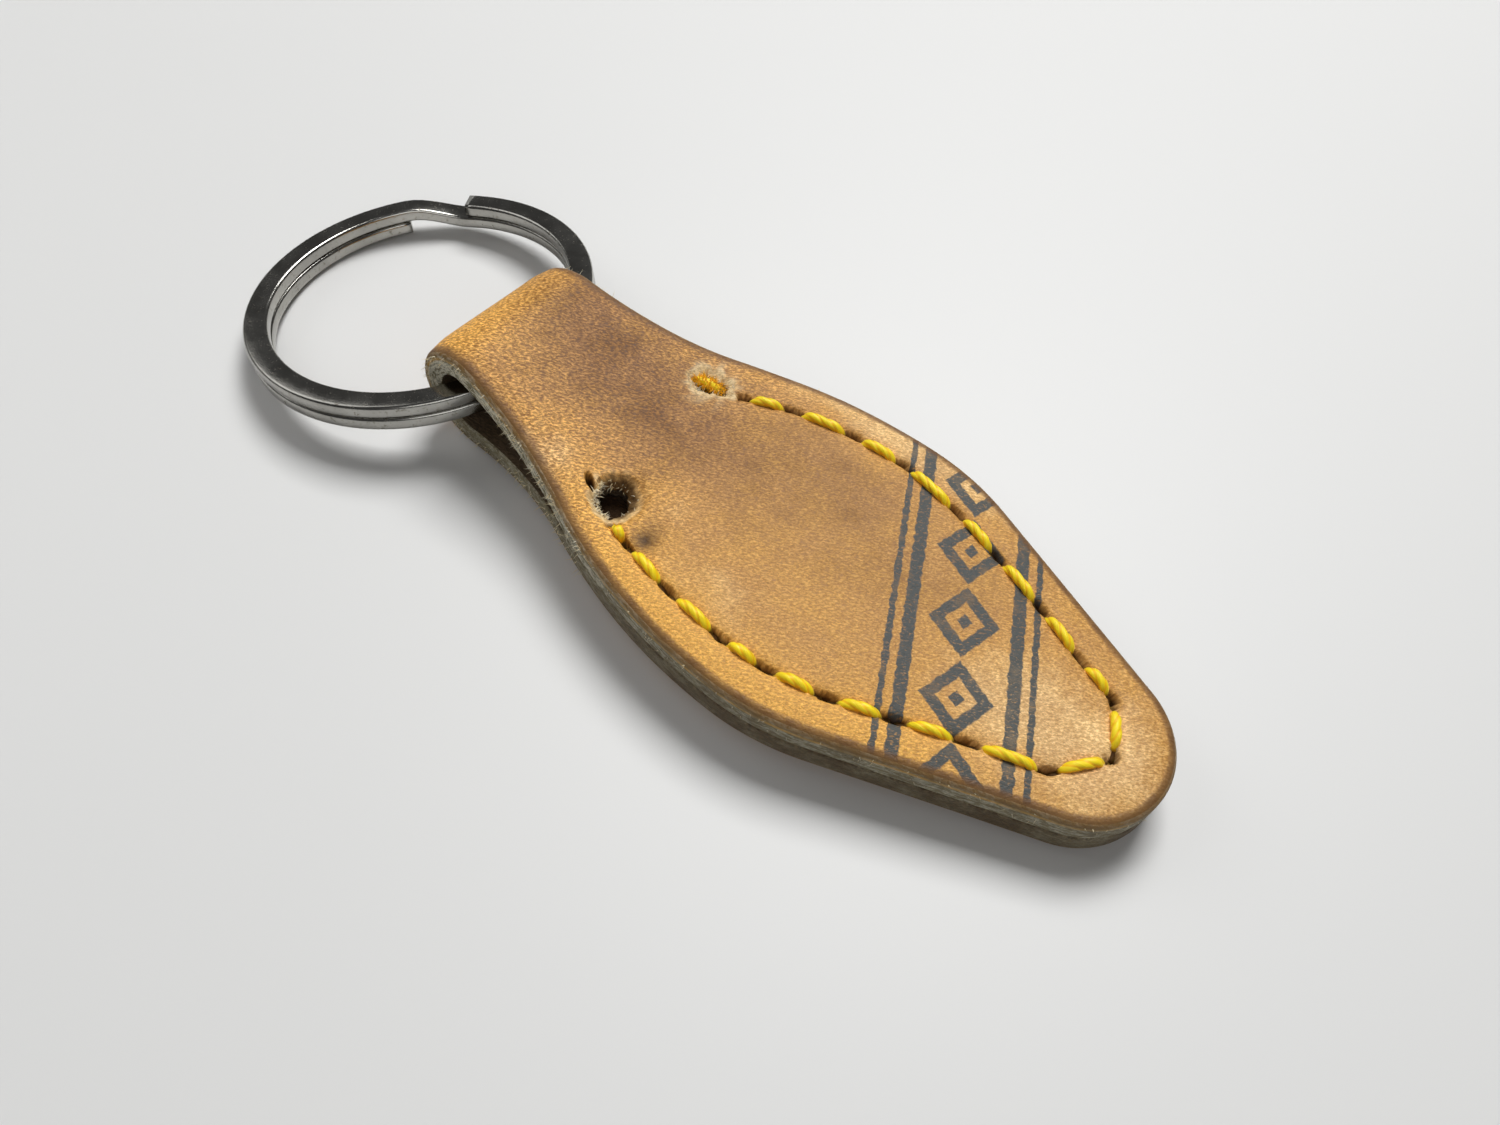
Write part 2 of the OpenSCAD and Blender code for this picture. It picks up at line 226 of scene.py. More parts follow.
class LeatherStrip:
    """How the strip is cut and folded. Its own coordinates are w, the way along the grain side from the
    middle of the fold, positive on the front leaf; y, across it; and depth, below the grain side."""

    def __init__(self, leather):
        self.leather = leather
        self.fold_r = swing_axis.z
        self.sewn_half = leather.thickness + leather.leaf_gap / 2
        run = leather.flat_from - self.fold_r
        rise = self.sewn_half + leather.bend_radius
        both_r = self.fold_r + leather.bend_radius
        self.slope = math.atan2(run, rise) - math.acos(both_r / math.hypot(run, rise))
        self.fold_end_x = self.fold_r * (1 + math.sin(self.slope))
        bend_start_x = leather.flat_from - leather.bend_radius * math.sin(self.slope)
        self.fold_end = self.fold_r * (math.pi / 2 + self.slope)
        self.bend_start = self.fold_end + (bend_start_x - self.fold_end_x) / math.cos(self.slope)
        self.bend_end = self.bend_start + leather.bend_radius * self.slope
        half_length = self.bend_end + leather.length - leather.flat_from
        self.tilt = down_angle(leather.length - self.fold_r, self.sewn_half)
        self.table_w = np.linspace(0, half_length + TABLE_PAST, TABLE_ROWS)
        self.table_x = self.side_view(self.table_w)[0]

    def side_view(self, w):
        """Place and direction of the grain side, seen from the side with the leaves level."""
        leather, a = self.leather, np.abs(w)
        turn = math.pi - np.minimum(a, self.fold_end) / self.fold_r
        lean = np.clip(self.slope - (a - self.bend_start) / leather.bend_radius, 0, self.slope)
        straight = np.clip(a - self.fold_end, 0, self.bend_start - self.fold_end)
        x = np.where(
            a < self.bend_start,
            self.fold_r * (1 + np.cos(turn)) + straight * math.cos(self.slope),
            leather.flat_from - leather.bend_radius * np.sin(lean) + np.maximum(a - self.bend_end, 0))
        z = np.where(
            a < self.bend_start,
            self.fold_r * np.sin(turn) - straight * math.sin(self.slope),
            self.sewn_half + leather.bend_radius * (1 - np.cos(lean)))
        out_x = np.where(a < self.fold_end, np.cos(turn), np.sin(lean))
        out_z = np.where(a < self.fold_end, np.sin(turn), np.cos(lean))
        side = np.where(np.asarray(w) < 0, -1.0, 1.0)
        return x, z * side, out_x, out_z * side

    def fold(self, w, y, depth):
        """Points of the strip once it is folded over the ring and lies on its back."""
        x, z, out_x, out_z = self.side_view(w)
        x = x - depth * out_x - self.fold_r
        z = z - depth * out_z
        c, s = math.cos(self.tilt), math.sin(self.tilt)
        return np.column_stack((swing_axis.x + c * x + s * z, y, self.fold_r - s * x + c * z))

    def way_along(self, x):
        return np.interp(x, self.table_x, self.table_w)

    def half_edge(self, step, inset):
        """Points (x, y) of the far side's edge and its outward directions, from the tip to the middle of the
        fold, a step apart where the seam runs at that inset."""
        leather = self.leather
        belly, neck = leather.belly_width / 2, leather.neck_width / 2
        belly_x = leather.length - leather.taper_length
        tip = np.array((leather.length - leather.tip_radius, 0))
        wide = np.array((belly_x, belly - leather.belly_radius))
        to_tip = tip - wide
        narrowing = (leather.belly_radius - leather.tip_radius) / np.hypot(*to_tip)
        taper = math.atan2(to_tip[1], to_tip[0]) + math.acos(narrowing)
        drop = belly - neck
        flare = 2 * math.atan2(drop, belly_x - leather.neck_length)
        both_r = drop / (1 - math.cos(flare))
        hollow_r = both_r * leather.hollow_share
        shoulder_r = both_r - hollow_r
        self.belly_x, self.shoulder = belly_x, (belly_x, belly - shoulder_r, shoulder_r)
        hollow = np.array((leather.neck_length, neck + hollow_r))
        hollow_end = 1.5 * math.pi + math.asin((self.fold_end_x - leather.neck_length) / hollow_r)
        points, outward = [], []

        def arc(centre, radius, start, stop, out):
            count = math.ceil(abs(stop - start) * (radius - out * inset) / step)
            for turn in np.linspace(start, stop, count + 1)[:-1]:
                direction = np.array((math.cos(turn), math.sin(turn)))
                points.append(centre + radius * direction)
                outward.append(out * direction)

        arc(tip, leather.tip_radius, 0, taper, 1)
        direction = np.array((math.cos(taper), math.sin(taper)))
        start, stop = tip + leather.tip_radius * direction, wide + leather.belly_radius * direction
        count = math.ceil(np.hypot(*(stop - start)) / step)
        for t in np.linspace(0, 1, count + 1)[:-1]:
            points.append(start + (stop - start) * t)
            outward.append(direction)
        arc(wide, leather.belly_radius, taper, math.pi / 2, 1)
        arc(np.array(self.shoulder[:2]), shoulder_r, math.pi / 2, math.pi / 2 + flare, 1)
        arc(hollow, hollow_r, 1.5 * math.pi + flare, hollow_end, -1)
        count = math.ceil(self.fold_end / step)
        for w in np.linspace(self.fold_end, 0, count + 1):
            x = float(self.side_view(w)[0])
            y = neck + hollow_r - math.sqrt(hollow_r ** 2 - max(x - leather.neck_length, 0) ** 2)
            points.append(np.array((x, y)))
            outward.append(np.array((0.0, 1.0)))
        return np.array(points), np.array(outward)

    def edge_ring(self, half, inset):
        """Closed ring of (w, y) points at an inset from the whole edge: front far, back far, back near and
        front near."""
        points, outward = half
        moved = points - inset * outward
        w = self.way_along(points[:, 0]) - inset * outward[:, 0]
        front = np.column_stack((w, moved[:, 1]))
        far = np.vstack((front, front[-2::-1] * (-1, 1)))
        return np.vstack((far, far[-2:0:-1] * (1, -1)))

    def needle_holes(self, half, seam):
        """Needle holes as (w, y) on the front leaf, from the near side round the tip to the far side."""
        points, outward = half
        line = points - seam.inset * outward
        along = running_sum(np.hypot(*np.diff(line, axis=0).T))
        first = -np.interp(-(self.belly_x - seam.start), -line[:, 0], along)
        last = np.interp(-(self.belly_x - seam.end), -line[:, 0], along)
        second = first + seam.first
        near = np.linspace(second, 0, round(-second / seam.pitch) + 1)
        far = np.linspace(0, last, round(last / seam.pitch) + 1)
        ahead, inward = np.array(STITCH_DRIFT).T * MM
        places = np.concatenate(((first,), near, far[1:])) + ahead
        x, y, out_x, out_y = (np.interp(np.abs(places), along, values) for values in (*line.T, *outward.T))
        return np.column_stack((self.way_along(x - inward * out_x), (y - inward * out_y) * np.sign(places)))

    def round_hole_place(self, back, inset):
        """Middle of the punched hole, as (w, y) on the front leaf's near side."""
        x, y, radius = self.shoulder
        turn = math.pi / 2 + math.asin(back / (radius - inset))
        return np.array((self.way_along(x + (radius - inset) * math.cos(turn)),
                         -(y + (radius - inset) * math.sin(turn))))


# Modelling helpers

def start_piece(name):
    """Rename the new primitive and open it in edit mode."""
    piece = bpy.context.object
    piece.name = piece.data.name = name
    bpy.ops.object.mode_set(mode="EDIT")
    return piece


def apply_modifiers(piece):
    for modifier in list(piece.modifiers):
        bpy.ops.object.modifier_apply(modifier=modifier.name)


def choose(piece, kind, test):
    """Select the vertices, edges or faces that pass a test, and nothing else."""
    bpy.ops.mesh.select_mode(type=kind)
    bpy.ops.mesh.select_all(action="DESELECT")
    mesh = bmesh.from_edit_mesh(piece.data)
    items = {"VERT": mesh.verts, "EDGE": mesh.edges, "FACE": mesh.faces}[kind]
    for item in items:
        if test(item):
            item.select_set(True)
    mesh.select_flush_mode()
    bmesh.update_edit_mesh(piece.data)


def face_outwards():
    bpy.ops.mesh.select_all(action="SELECT")
    bpy.ops.mesh.normals_make_consistent(inside=False)


def close_ends(piece):
    """Fill the open ends of a swept piece and leave edit mode."""
    choose(piece, "EDGE", lambda e: e.is_boundary)
    bpy.ops.mesh.fill_holes(sides=0)
    face_outwards()
    bpy.ops.object.mode_set(mode="OBJECT")


def coordinates(mesh):
    flat = np.empty(len(mesh.vertices) * 3, np.float32)
    mesh.vertices.foreach_get("co", flat)
    return flat.reshape(-1, 3).astype(float)


def store(mesh, name, values):
    """Keep a value for each vertex, for the materials to read."""
    attribute = mesh.attributes.new(name, "FLOAT", "POINT")
    attribute.data.foreach_set("value", np.asarray(values, np.float32))


def finish_piece(piece, body, slot, *nodes):
    bpy.ops.object.select_all(action="DESELECT")
    piece.select_set(True)
    bpy.context.view_layer.objects.active = piece
    bpy.ops.object.shade_smooth()
    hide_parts(*nodes)
    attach(piece, body)


# Materials

# The print on the front leaf: its slant, and the move in millimetres that then brings it to the origin
PRINT_TURN = math.radians(-28)
PRINT_MOVE = (-47.5, 0, 0)
# Its lozenges, in millimetres: pitch along the row, half width and half length
LOZENGE_PITCH, LOZENGE_WIDTH, LOZENGE_LENGTH = 6.6, 2.6, 3.0
# Its stripes, in millimetres: way off the middle of the row, and half width with and without the soft edge
STRIPES = ((4.1, 0.56, 0.44), (5.5, 0.3, 0.2))
# Direction of the fine flecks of the grain
GRAIN_TURN = math.radians(-33)
# How the flecks darken and lighten the grain, on the leaves and on the open neck: partly the grain's own
# colour, partly painted shade between its pebbles and painted glints on them
FLECK_DARK_AND_SHADE, NECK_FLECK_DARK_AND_SHADE = (0.71, 0.63, 0.53), (0.47, 0.37, 0.27)
FLECK_PALE_AND_GLINT, NECK_FLECK_PALE_AND_GLINT = (1.36, 1.42, 1.55), (1.85, 1.92, 2.1)


class Nodes:
    """Short ways to add nodes to a material or a node group."""

    def __init__(self, tree):
        self.tree = tree

    def add(self, kind, inputs=None, **settings):
        node = self.tree.nodes.new(kind)
        for name, value in settings.items():
            setattr(node, name, value)
        for key, value in (inputs or {}).items():
            if isinstance(value, bpy.types.NodeSocket):
                self.tree.links.new(value, node.inputs[key])
            else:
                node.inputs[key].default_value = value
        return node

    def connect(self, node, **values):
        for key, value in values.items():
            self.tree.links.new(value, node.inputs[key.replace("_", " ")])

    def math(self, operation, a, b=0.0, c=0.0):
        return self.add("ShaderNodeMath", {0: a, 1: b, 2: c}, operation=operation).outputs[0]

    def times(self, a, b):
        return self.math("MULTIPLY", a, b)

    def gain(self, value, amount, base):
        """The base and this amount of the value."""
        return self.math("MULTIPLY_ADD", value, amount, base)

    def off(self, value, middle):
        """How far a value lies off a middle one."""
        return self.math("ABSOLUTE", self.math("SUBTRACT", value, middle))

    def step(self, value, low, high):
        """Smooth step from 0 at low to 1 at high."""
        return self.add("ShaderNodeMapRange", {"Value": value, "From Min": low, "From Max": high},
                        interpolation_type="SMOOTHSTEP").outputs["Result"]

    def mix(self, factor, a, b, blend="MIX"):
        a, b = (c if isinstance(c, bpy.types.NodeSocket) else (*c, 1) for c in (a, b))
        node = self.add("ShaderNodeMix", {0: factor, 6: a, 7: b}, data_type="RGBA", blend_type=blend)
        return node.outputs[2]

    def shade(self, colour, value, low, high):
        """Multiply a colour by a value that is spread from low to high."""
        spread = self.add("ShaderNodeMapRange", {"Value": value, "To Min": low, "To Max": high})
        amount = spread.outputs["Result"]
        grey = self.add("ShaderNodeCombineColor", {0: amount, 1: amount, 2: amount}).outputs[0]
        return self.mix(1.0, colour, grey, "MULTIPLY")

    def vector(self, x, y, z):
        return self.add("ShaderNodeCombineXYZ", {0: x, 1: y, 2: z}).outputs[0]

    def apart(self, vector):
        return self.add("ShaderNodeSeparateXYZ", {0: vector}).outputs

    def attribute(self, name):
        return self.add("ShaderNodeAttribute", attribute_name=name).outputs["Fac"]

    def strip_mm(self):
        """Place on the flat strip, as (w, y)."""
        return self.add("ShaderNodeUVMap", uv_map="strip").outputs[0]

    def object_mm(self):
        """Object coordinates in millimetres."""
        place = self.add("ShaderNodeTexCoord").outputs["Object"]
        return self.add("ShaderNodeMapping", {"Vector": place, "Scale": (1 / MM,) * 3}).outputs[0]

    def group(self, name, inputs):
        return self.add("ShaderNodeGroup", inputs, node_tree=bpy.data.node_groups[name]).outputs[0]

    def mottle(self, vector, size, low=0.35, high=0.65):
        """Soft patches of about this size."""
        return self.group("Mottle", {"Vector": vector, "Size": size, "Low": low, "High": high})

    def fibres(self, vector, length, width, detail=3.0):
        """Short streaks along the vector's first axis."""
        return self.group("Fibres", {"Vector": vector, "Length": length, "Width": width, "Detail": detail})

    def pores(self, vector, size):
        """Small round dimples."""
        return self.group("Pores", {"Vector": vector, "Size": size})

    def bump(self, shader, height, distance, strength):
        result = self.add("ShaderNodeBump", {"Height": height, "Distance": distance, "Strength": strength})
        self.connect(shader, Normal=result.outputs[0])


def node_group(name, output, **inputs):
    """Start a shared effect of a vector and these numbers, with one output."""
    tree = bpy.data.node_groups.new(name, "ShaderNodeTree")
    tree.interface.new_socket("Vector", in_out="INPUT", socket_type="NodeSocketVector")
    for key, value in inputs.items():
        tree.interface.new_socket(key, in_out="INPUT", socket_type="NodeSocketFloat").default_value = value
    tree.interface.new_socket(output, in_out="OUTPUT", socket_type="NodeSocketFloat")
    return Nodes(tree), tree.nodes.new("NodeGroupInput").outputs, tree.nodes.new("NodeGroupOutput")


def make_effects():
    """The shared effects that several materials use: patches, streaks and dimples."""
    nodes, given, result = node_group("Mottle", "Mask", Size=4.0, Low=0.35, High=0.65)
    scale = nodes.math("DIVIDE", 1.0, given["Size"])
    patches = nodes.add("ShaderNodeTexNoise", {
        "Vector": given["Vector"], "Scale": scale, "Detail": 4.0, "Roughness": 0.6})
    nodes.connect(result, Mask=nodes.step(patches.outputs["Fac"], given["Low"], given["High"]))

    nodes, given, result = node_group("Fibres", "Value", Length=0.6, Width=0.25, Detail=3.0)
    apart = nodes.apart(given["Vector"])
    drawn = nodes.vector(
        *(nodes.math("DIVIDE", apart[i], given[key]) for i, key in enumerate(("Length", "Width", "Width"))))
    streaks = nodes.add("ShaderNodeTexNoise", {
        "Vector": drawn, "Scale": 1.0, "Detail": given["Detail"], "Roughness": 0.62, "Distortion": 0.4})
    nodes.connect(result, Value=nodes.step(streaks.outputs["Fac"], 0.28, 0.72))

    nodes, given, result = node_group("Pores", "Height", Size=0.3)
    scale = nodes.math("DIVIDE", 1.0, given["Size"])
    cells = nodes.add("ShaderNodeTexVoronoi", {"Vector": given["Vector"], "Scale": scale}, feature="F1")
    nodes.connect(result, Height=nodes.step(cells.outputs["Distance"], 0.0, 0.55))


def new_material(name, **values):
    """A Principled material with these plain values, and its nodes and shader."""
    material = bpy.data.materials.new(name)
    material.use_nodes = True
    shader = material.node_tree.nodes["Principled BSDF"]
    for key, value in values.items():
        shader.inputs[key.replace("_", " ")].default_value = value
    return material, Nodes(material.node_tree), shader


def old_print(nodes, flat):
    """Worn ink: a slanting row of lozenges with two stripes on each side."""
    wobble = nodes.add("ShaderNodeTexNoise", {"Vector": flat, "Scale": 1.6, "Detail": 3.0}).outputs["Fac"]
    apart = nodes.apart(nodes.add("ShaderNodeMapping", {
        "Vector": flat, "Location": PRINT_MOVE, "Rotation": (0, 0, PRINT_TURN)}).outputs[0])
    across = nodes.math("ADD", nodes.math("ABSOLUTE", apart[0]), nodes.gain(wobble, 0.5, -0.25))
    along = nodes.off(nodes.math("FRACT", nodes.math("DIVIDE", apart[1], LOZENGE_PITCH)), 0.5)
    lozenge = nodes.math("ADD", nodes.math("DIVIDE", across, LOZENGE_WIDTH),
                         nodes.times(along, LOZENGE_PITCH / LOZENGE_LENGTH))
    outline = nodes.step(nodes.off(lozenge, 0.82), 0.27, 0.2)
    ink = nodes.math("MAXIMUM", outline, nodes.step(lozenge, 0.26, 0.2))
    for way_off, soft, full in STRIPES:
        ink = nodes.math("MAXIMUM", ink, nodes.step(nodes.off(across, way_off), soft, full))
    return nodes.times(ink, nodes.gain(nodes.mottle(flat, 2.4, 0.22, 0.5), 0.25, 0.72))


def grain_material(leather):
    material, nodes, shader = new_material("leather grain", Specular_IOR_Level=0.27)
    flat = nodes.strip_mm()
    slanted = nodes.add("ShaderNodeMapping", {"Vector": flat, "Rotation": (0, 0, GRAIN_TURN)}).outputs[0]
    flecks = nodes.fibres(slanted, 0.36, 0.17)
    fine = nodes.fibres(slanted, 0.17, 0.11)
    small = nodes.mottle(flat, 1.7)
    neck, rim = nodes.attribute("open"), nodes.attribute("rim")

    # Patches from brown over tan to pale, with reddish and golden ones
    tone = nodes.gain(nodes.attribute("tone"), 0.5, 0.5)
    for patches, amount in ((nodes.mottle(flat, 7.0), 0.14), (small, 0.09)):
        tone = nodes.gain(nodes.math("SUBTRACT", patches, 0.5), amount, tone)
    paint = nodes.mix(nodes.step(tone, -0.12, 0.56), leather.grain_brown, leather.grain_tan)
    paint = nodes.mix(nodes.step(tone, 0.55, 1.0), paint, leather.grain_pale)
    paint = nodes.mix(nodes.times(nodes.mottle(slanted, 4.5), 0.35), paint, leather.grain_pink)
    paint = nodes.mix(nodes.times(nodes.attribute("gold"), 0.85), paint, leather.grain_gold)

    # Flecks, partly painted shade between the grain's pebbles and painted glints on them, and the print,
    # which is worn off the darkest of them
    dark = nodes.mix(neck, FLECK_DARK_AND_SHADE, NECK_FLECK_DARK_AND_SHADE)
    light = nodes.mix(neck, FLECK_PALE_AND_GLINT, NECK_FLECK_PALE_AND_GLINT)
    paint = nodes.mix(1.0, paint, nodes.mix(nodes.math("POWER", flecks, 1.6), dark, light), "MULTIPLY")
    paint = nodes.shade(paint, fine, 0.8, 1.22)
    ink = nodes.times(old_print(nodes, flat), nodes.step(flecks, -0.25, 0.4))
    paint = nodes.mix(ink, paint, leather.ink)

    # Rounded rim with a dark burnished line, torn grain, and painted shade in the needle holes, the old cut
    # and the punched hole, with the stain
    paint = nodes.mix(nodes.step(rim, 0.25, -0.45), paint, leather.rim_brown)
    line_end = nodes.gain(neck, 0.35, 0.34)
    line = nodes.times(nodes.step(rim, line_end, 0.0), nodes.step(rim, -0.62, -0.25))
    line = nodes.times(line, nodes.gain(small, 0.25, 0.52))
    paint = nodes.mix(line, paint, leather.burnish)
    torn = nodes.times(nodes.attribute("torn"), nodes.gain(flecks, 0.5, 0.5))
    paint = nodes.mix(torn, paint, leather.torn)
    paint = nodes.mix(nodes.times(nodes.attribute("pit"), 0.93), paint, leather.pit)
    roughness = nodes.gain(line, -0.1, nodes.gain(flecks, 0.16, 0.42))
    nodes.connect(shader, Base_Color=paint, Roughness=roughness)
    dimples = nodes.times(nodes.pores(flat, 0.34), 0.4)
    nodes.bump(shader, nodes.gain(flecks, 0.55, nodes.gain(fine, 0.25, dimples)), 0.045 * MM, 0.8)
    return material


def edge_material(leather):
    material, nodes, shader = new_material("leather cut edge", Specular_IOR_Level=0.3)
    depth, opened = nodes.attribute("depth"), nodes.attribute("open")
    flat = nodes.apart(nodes.strip_mm())
    along = nodes.vector(nodes.attribute("round"), depth, nodes.times(flat[1], 0.1))
    streaks = nodes.fibres(along, 0.9, 0.3, 5.0)
    hairs = nodes.fibres(along, 0.28, 0.12, 4.0)
    patches = nodes.mottle(along, 2.6)
    front = nodes.step(flat[0], -3.0, 1.0)

    # Brown and olive leather, whitish where its fibres stand open; browner, with fewer whitish fibres, on
    # the lower back leaf, partly as painted shade
    worn = nodes.gain(patches, 0.45, nodes.times(opened, 0.55))
    paint = nodes.mix(nodes.gain(front, 0.45, worn), leather.edge_brown, leather.edge_olive)
    white = nodes.times(nodes.step(streaks, 0.25, 0.8), nodes.gain(front, 0.6, 0.2))
    white = nodes.times(white, nodes.gain(opened, 0.65, nodes.math("ADD", worn, 0.2)))
    paint = nodes.shade(nodes.mix(white, paint, leather.edge_pale), hairs, 0.6, 1.35)

    # A golden layer under the brown rim, left off the lower back leaf as painted shade, torn fibres, and the
    # insides of holes
    under = nodes.times(nodes.step(depth, 0.4, 0.62), nodes.step(depth, 0.95, 0.7))
    under = nodes.times(under, nodes.gain(patches, 0.4, 0.2))
    paint = nodes.mix(nodes.times(under, front), paint, leather.grain_gold)
    top = nodes.times(nodes.step(depth, 0.72, 0.25), nodes.gain(streaks, -0.25, 0.95))
    paint = nodes.mix(top, paint, leather.rim_brown)
    torn = nodes.times(nodes.attribute("torn"), nodes.gain(hairs, 0.4, 0.5))
    paint = nodes.mix(torn, paint, leather.torn)
    # Painted shade down the walls of the punched hole and at the needle holes
    paint = nodes.mix(nodes.attribute("pit"), paint, leather.pit)
    roughness = nodes.gain(opened, 0.2, nodes.gain(hairs, 0.15, 0.5))
    nodes.connect(shader, Base_Color=paint, Roughness=roughness)
    nodes.bump(shader, nodes.gain(streaks, 0.6, nodes.times(hairs, 0.5)), 0.16 * MM, 0.9)
    return material


def flesh_material(leather):
    material, nodes, shader = new_material("leather flesh side", Roughness=0.85, Specular_IOR_Level=0.2)
    place = nodes.object_mm()
    hairs = nodes.fibres(place, 0.5, 0.2, 5.0)
    # The flesh side is darkened as painted shade inside the fold
    paint = nodes.mix(nodes.times(nodes.mottle(place, 2.0), 0.5), leather.flesh, leather.edge_brown)
    # Painted shade where the back leaf's flesh side shows through the punched hole
    paint = nodes.mix(nodes.attribute("pit"), nodes.shade(paint, hairs, 0.6, 1.35), leather.pit)
    nodes.connect(shader, Base_Color=paint)
    nodes.bump(shader, hairs, 0.2 * MM, 0.9)
    return material


def fibre_material(leather):
    material, nodes, shader = new_material("leather fibres", Roughness=0.8, Specular_IOR_Level=0.2)
    patches = nodes.mottle(nodes.object_mm(), 0.8)
    nodes.connect(shader, Base_Color=nodes.mix(patches, leather.torn, leather.edge_pale))
    return material


def thread_material(seam):
    material, nodes, shader = new_material(
        "yellow thread", Specular_IOR_Level=0.4,
        Sheen_Weight=0.9, Sheen_Roughness=0.4, Sheen_Tint=(1.0, 0.78, 0.12, 1.0))
    fibres = nodes.fibres(nodes.vector(nodes.attribute("along"), nodes.attribute("turn"), 0.0), 1.6, 0.16)
    # Plies' crowns that face up are yellow as a painted highlight; twists and sides are amber as painted
    # shade
    crown = nodes.step(nodes.attribute("crown"), 0.79, 0.87)
    upper = nodes.step(nodes.attribute("top"), 0.05, 0.6)
    lit_top = nodes.times(nodes.gain(crown, 0.7, 0.3), upper)
    paint = nodes.shade(nodes.mix(lit_top, seam.amber_shade, seam.yellow), fibres, 0.92, 1.12)
    # Thread that dives below the stitches turns dark: painted shade, with some soil
    paint = nodes.mix(nodes.attribute("sunk"), paint, seam.shade_and_soil)
    nodes.connect(shader, Base_Color=paint, Roughness=nodes.gain(fibres, -0.15, 0.55))
    nodes.bump(shader, fibres, 0.05 * MM, 0.5)
    return material


def nickel_material(ring):
    material, nodes, shader = new_material("nickel plated steel", Metallic=1.0)
    place = nodes.object_mm()
    dull = nodes.mottle(place, 3.2)
    specks = nodes.mottle(place, 0.35, 0.56, 0.7)
    scratches = nodes.fibres(place, 2.5, 0.07, 2.0)
    paint = nodes.shade(nodes.mix(specks, ring.nickel, ring.tarnish), dull, 0.88, 1.05)
    roughness = nodes.gain(specks, 0.14, nodes.gain(dull, 0.07, 0.13))
    nodes.connect(shader, Base_Color=paint, Roughness=roughness)
    nodes.bump(shader, nodes.gain(specks, -0.6, scratches), 0.004 * MM, 0.5)
    return material


# Leather

EDGE_STEP = 0.32 * MM
# Rings of faces along the edge, in millimetres from it: closest where the seam runs
RING_INSETS = (
    0.8, 1.4, 1.9, 2.3, 2.55, 2.75, 2.92, 3.08, 3.24, 3.4, 3.56, 3.72, 3.88, 4.04, 4.2, 4.36, 4.6, 5.0)
CROSS_FACES = 22
# Paler and browner patches of the grain, in millimetres: x from the fold, y, reach along and across, amount.
# The long pale one along the far rim is partly a painted highlight
GRAIN_PATCHES = (
    (15, 2.5, 13, 7, -0.84), (25, 2, 8, 5, -0.3), (37, 0.5, 6, 5, -0.3), (46.5, 3, 4.5, 4.5, -0.45),
    (35, 7, 7, 4, -0.6), (8, 4, 6, 5, -0.4), (21, -2, 5, 4, -0.2), (57, -2, 8, 5, 0.75),
    (17, -8, 4.5, 3, 0.6), (34, -9, 7, 3.5, 0.35), (27, -4.5, 3, 2, 0.4), (38, 13, 16, 2.5, 0.75),
    (64, 0, 4, 8, 0.5))
# The neck's edge is open up to the first x from the fold, and burnished beyond the second
NECK_END = (16 * MM, 34 * MM)
# What lies nearer to the outline than this is the cut edge
ON_EDGE = 0.05 * MM
# The grain side bends down towards the rim, and is a little uneven all over
RIM_DISH, RIM_DISH_REACH = 0.24 * MM, 2.5 * MM
LUMP_HEIGHT, LUMP_LENGTH = 0.05 * MM, 7 * MM

# Bands of faces round a hole, out from its outline, and how far beyond them the faces are evened out
HOLE_BANDS = (1.1 * MM, 0.88 * MM, 0.7 * MM, 0.52 * MM, 0.36 * MM, 0.22 * MM, 0)
HOLE_EVENED = 0.7 * MM
HOLE_ROUND = 0.1 * MM
# Punched hole: back from the greatest width, and in from the edge
ROUND_HOLE_BACK, ROUND_HOLE_INSET = 16.25 * MM, 4.39 * MM
# Torn hole: from the last needle hole, half length and half width in millimetres, and turn
TORN_PLACE = np.array((-2.8, -0.8)) * MM
TORN_HALF_LENGTH, TORN_HALF_WIDTH, TORN_TURN = 1.5, 0.85, 0.3
# For the punched and the torn hole: how deep the grain is drawn in, and the torn grain round it, which is
# full up to the first distance and gone at the second, with its amount
HOLE_DISHES = (1.35 * MM, 0.45 * MM)
TORN_GRAIN = ((0.35 * MM, 0.95 * MM, 0.7), (0.3 * MM, 1.25 * MM, 0.9))
# Old cut beside the punched hole, from the hole's middle, its direction, half length and half width
SLIT_PLACE, SLIT_WAY = np.array((-2.11, -0.41)) * MM, np.array((0.86, -0.5))
SLIT_LENGTH, SLIT_WIDTH = 0.9 * MM, 0.36 * MM
# Dark dent beside the punched hole: place from the hole's middle, radius and depth
STAIN_PLACE, STAIN_RADIUS, STAIN_DENT = np.array((4.71, -1.54)) * MM, 1.0 * MM, 0.2 * MM

# The near side's stitches lie beyond this y
NEAR_STITCHES = -6 * MM
# Pits of the needle holes: half length there and elsewhere, half width, and depth
PIT_LENGTHS, PIT_WIDTH, PIT_DEPTH = (1.42 * MM, 1.12 * MM), 0.36 * MM, 1.25 * MM


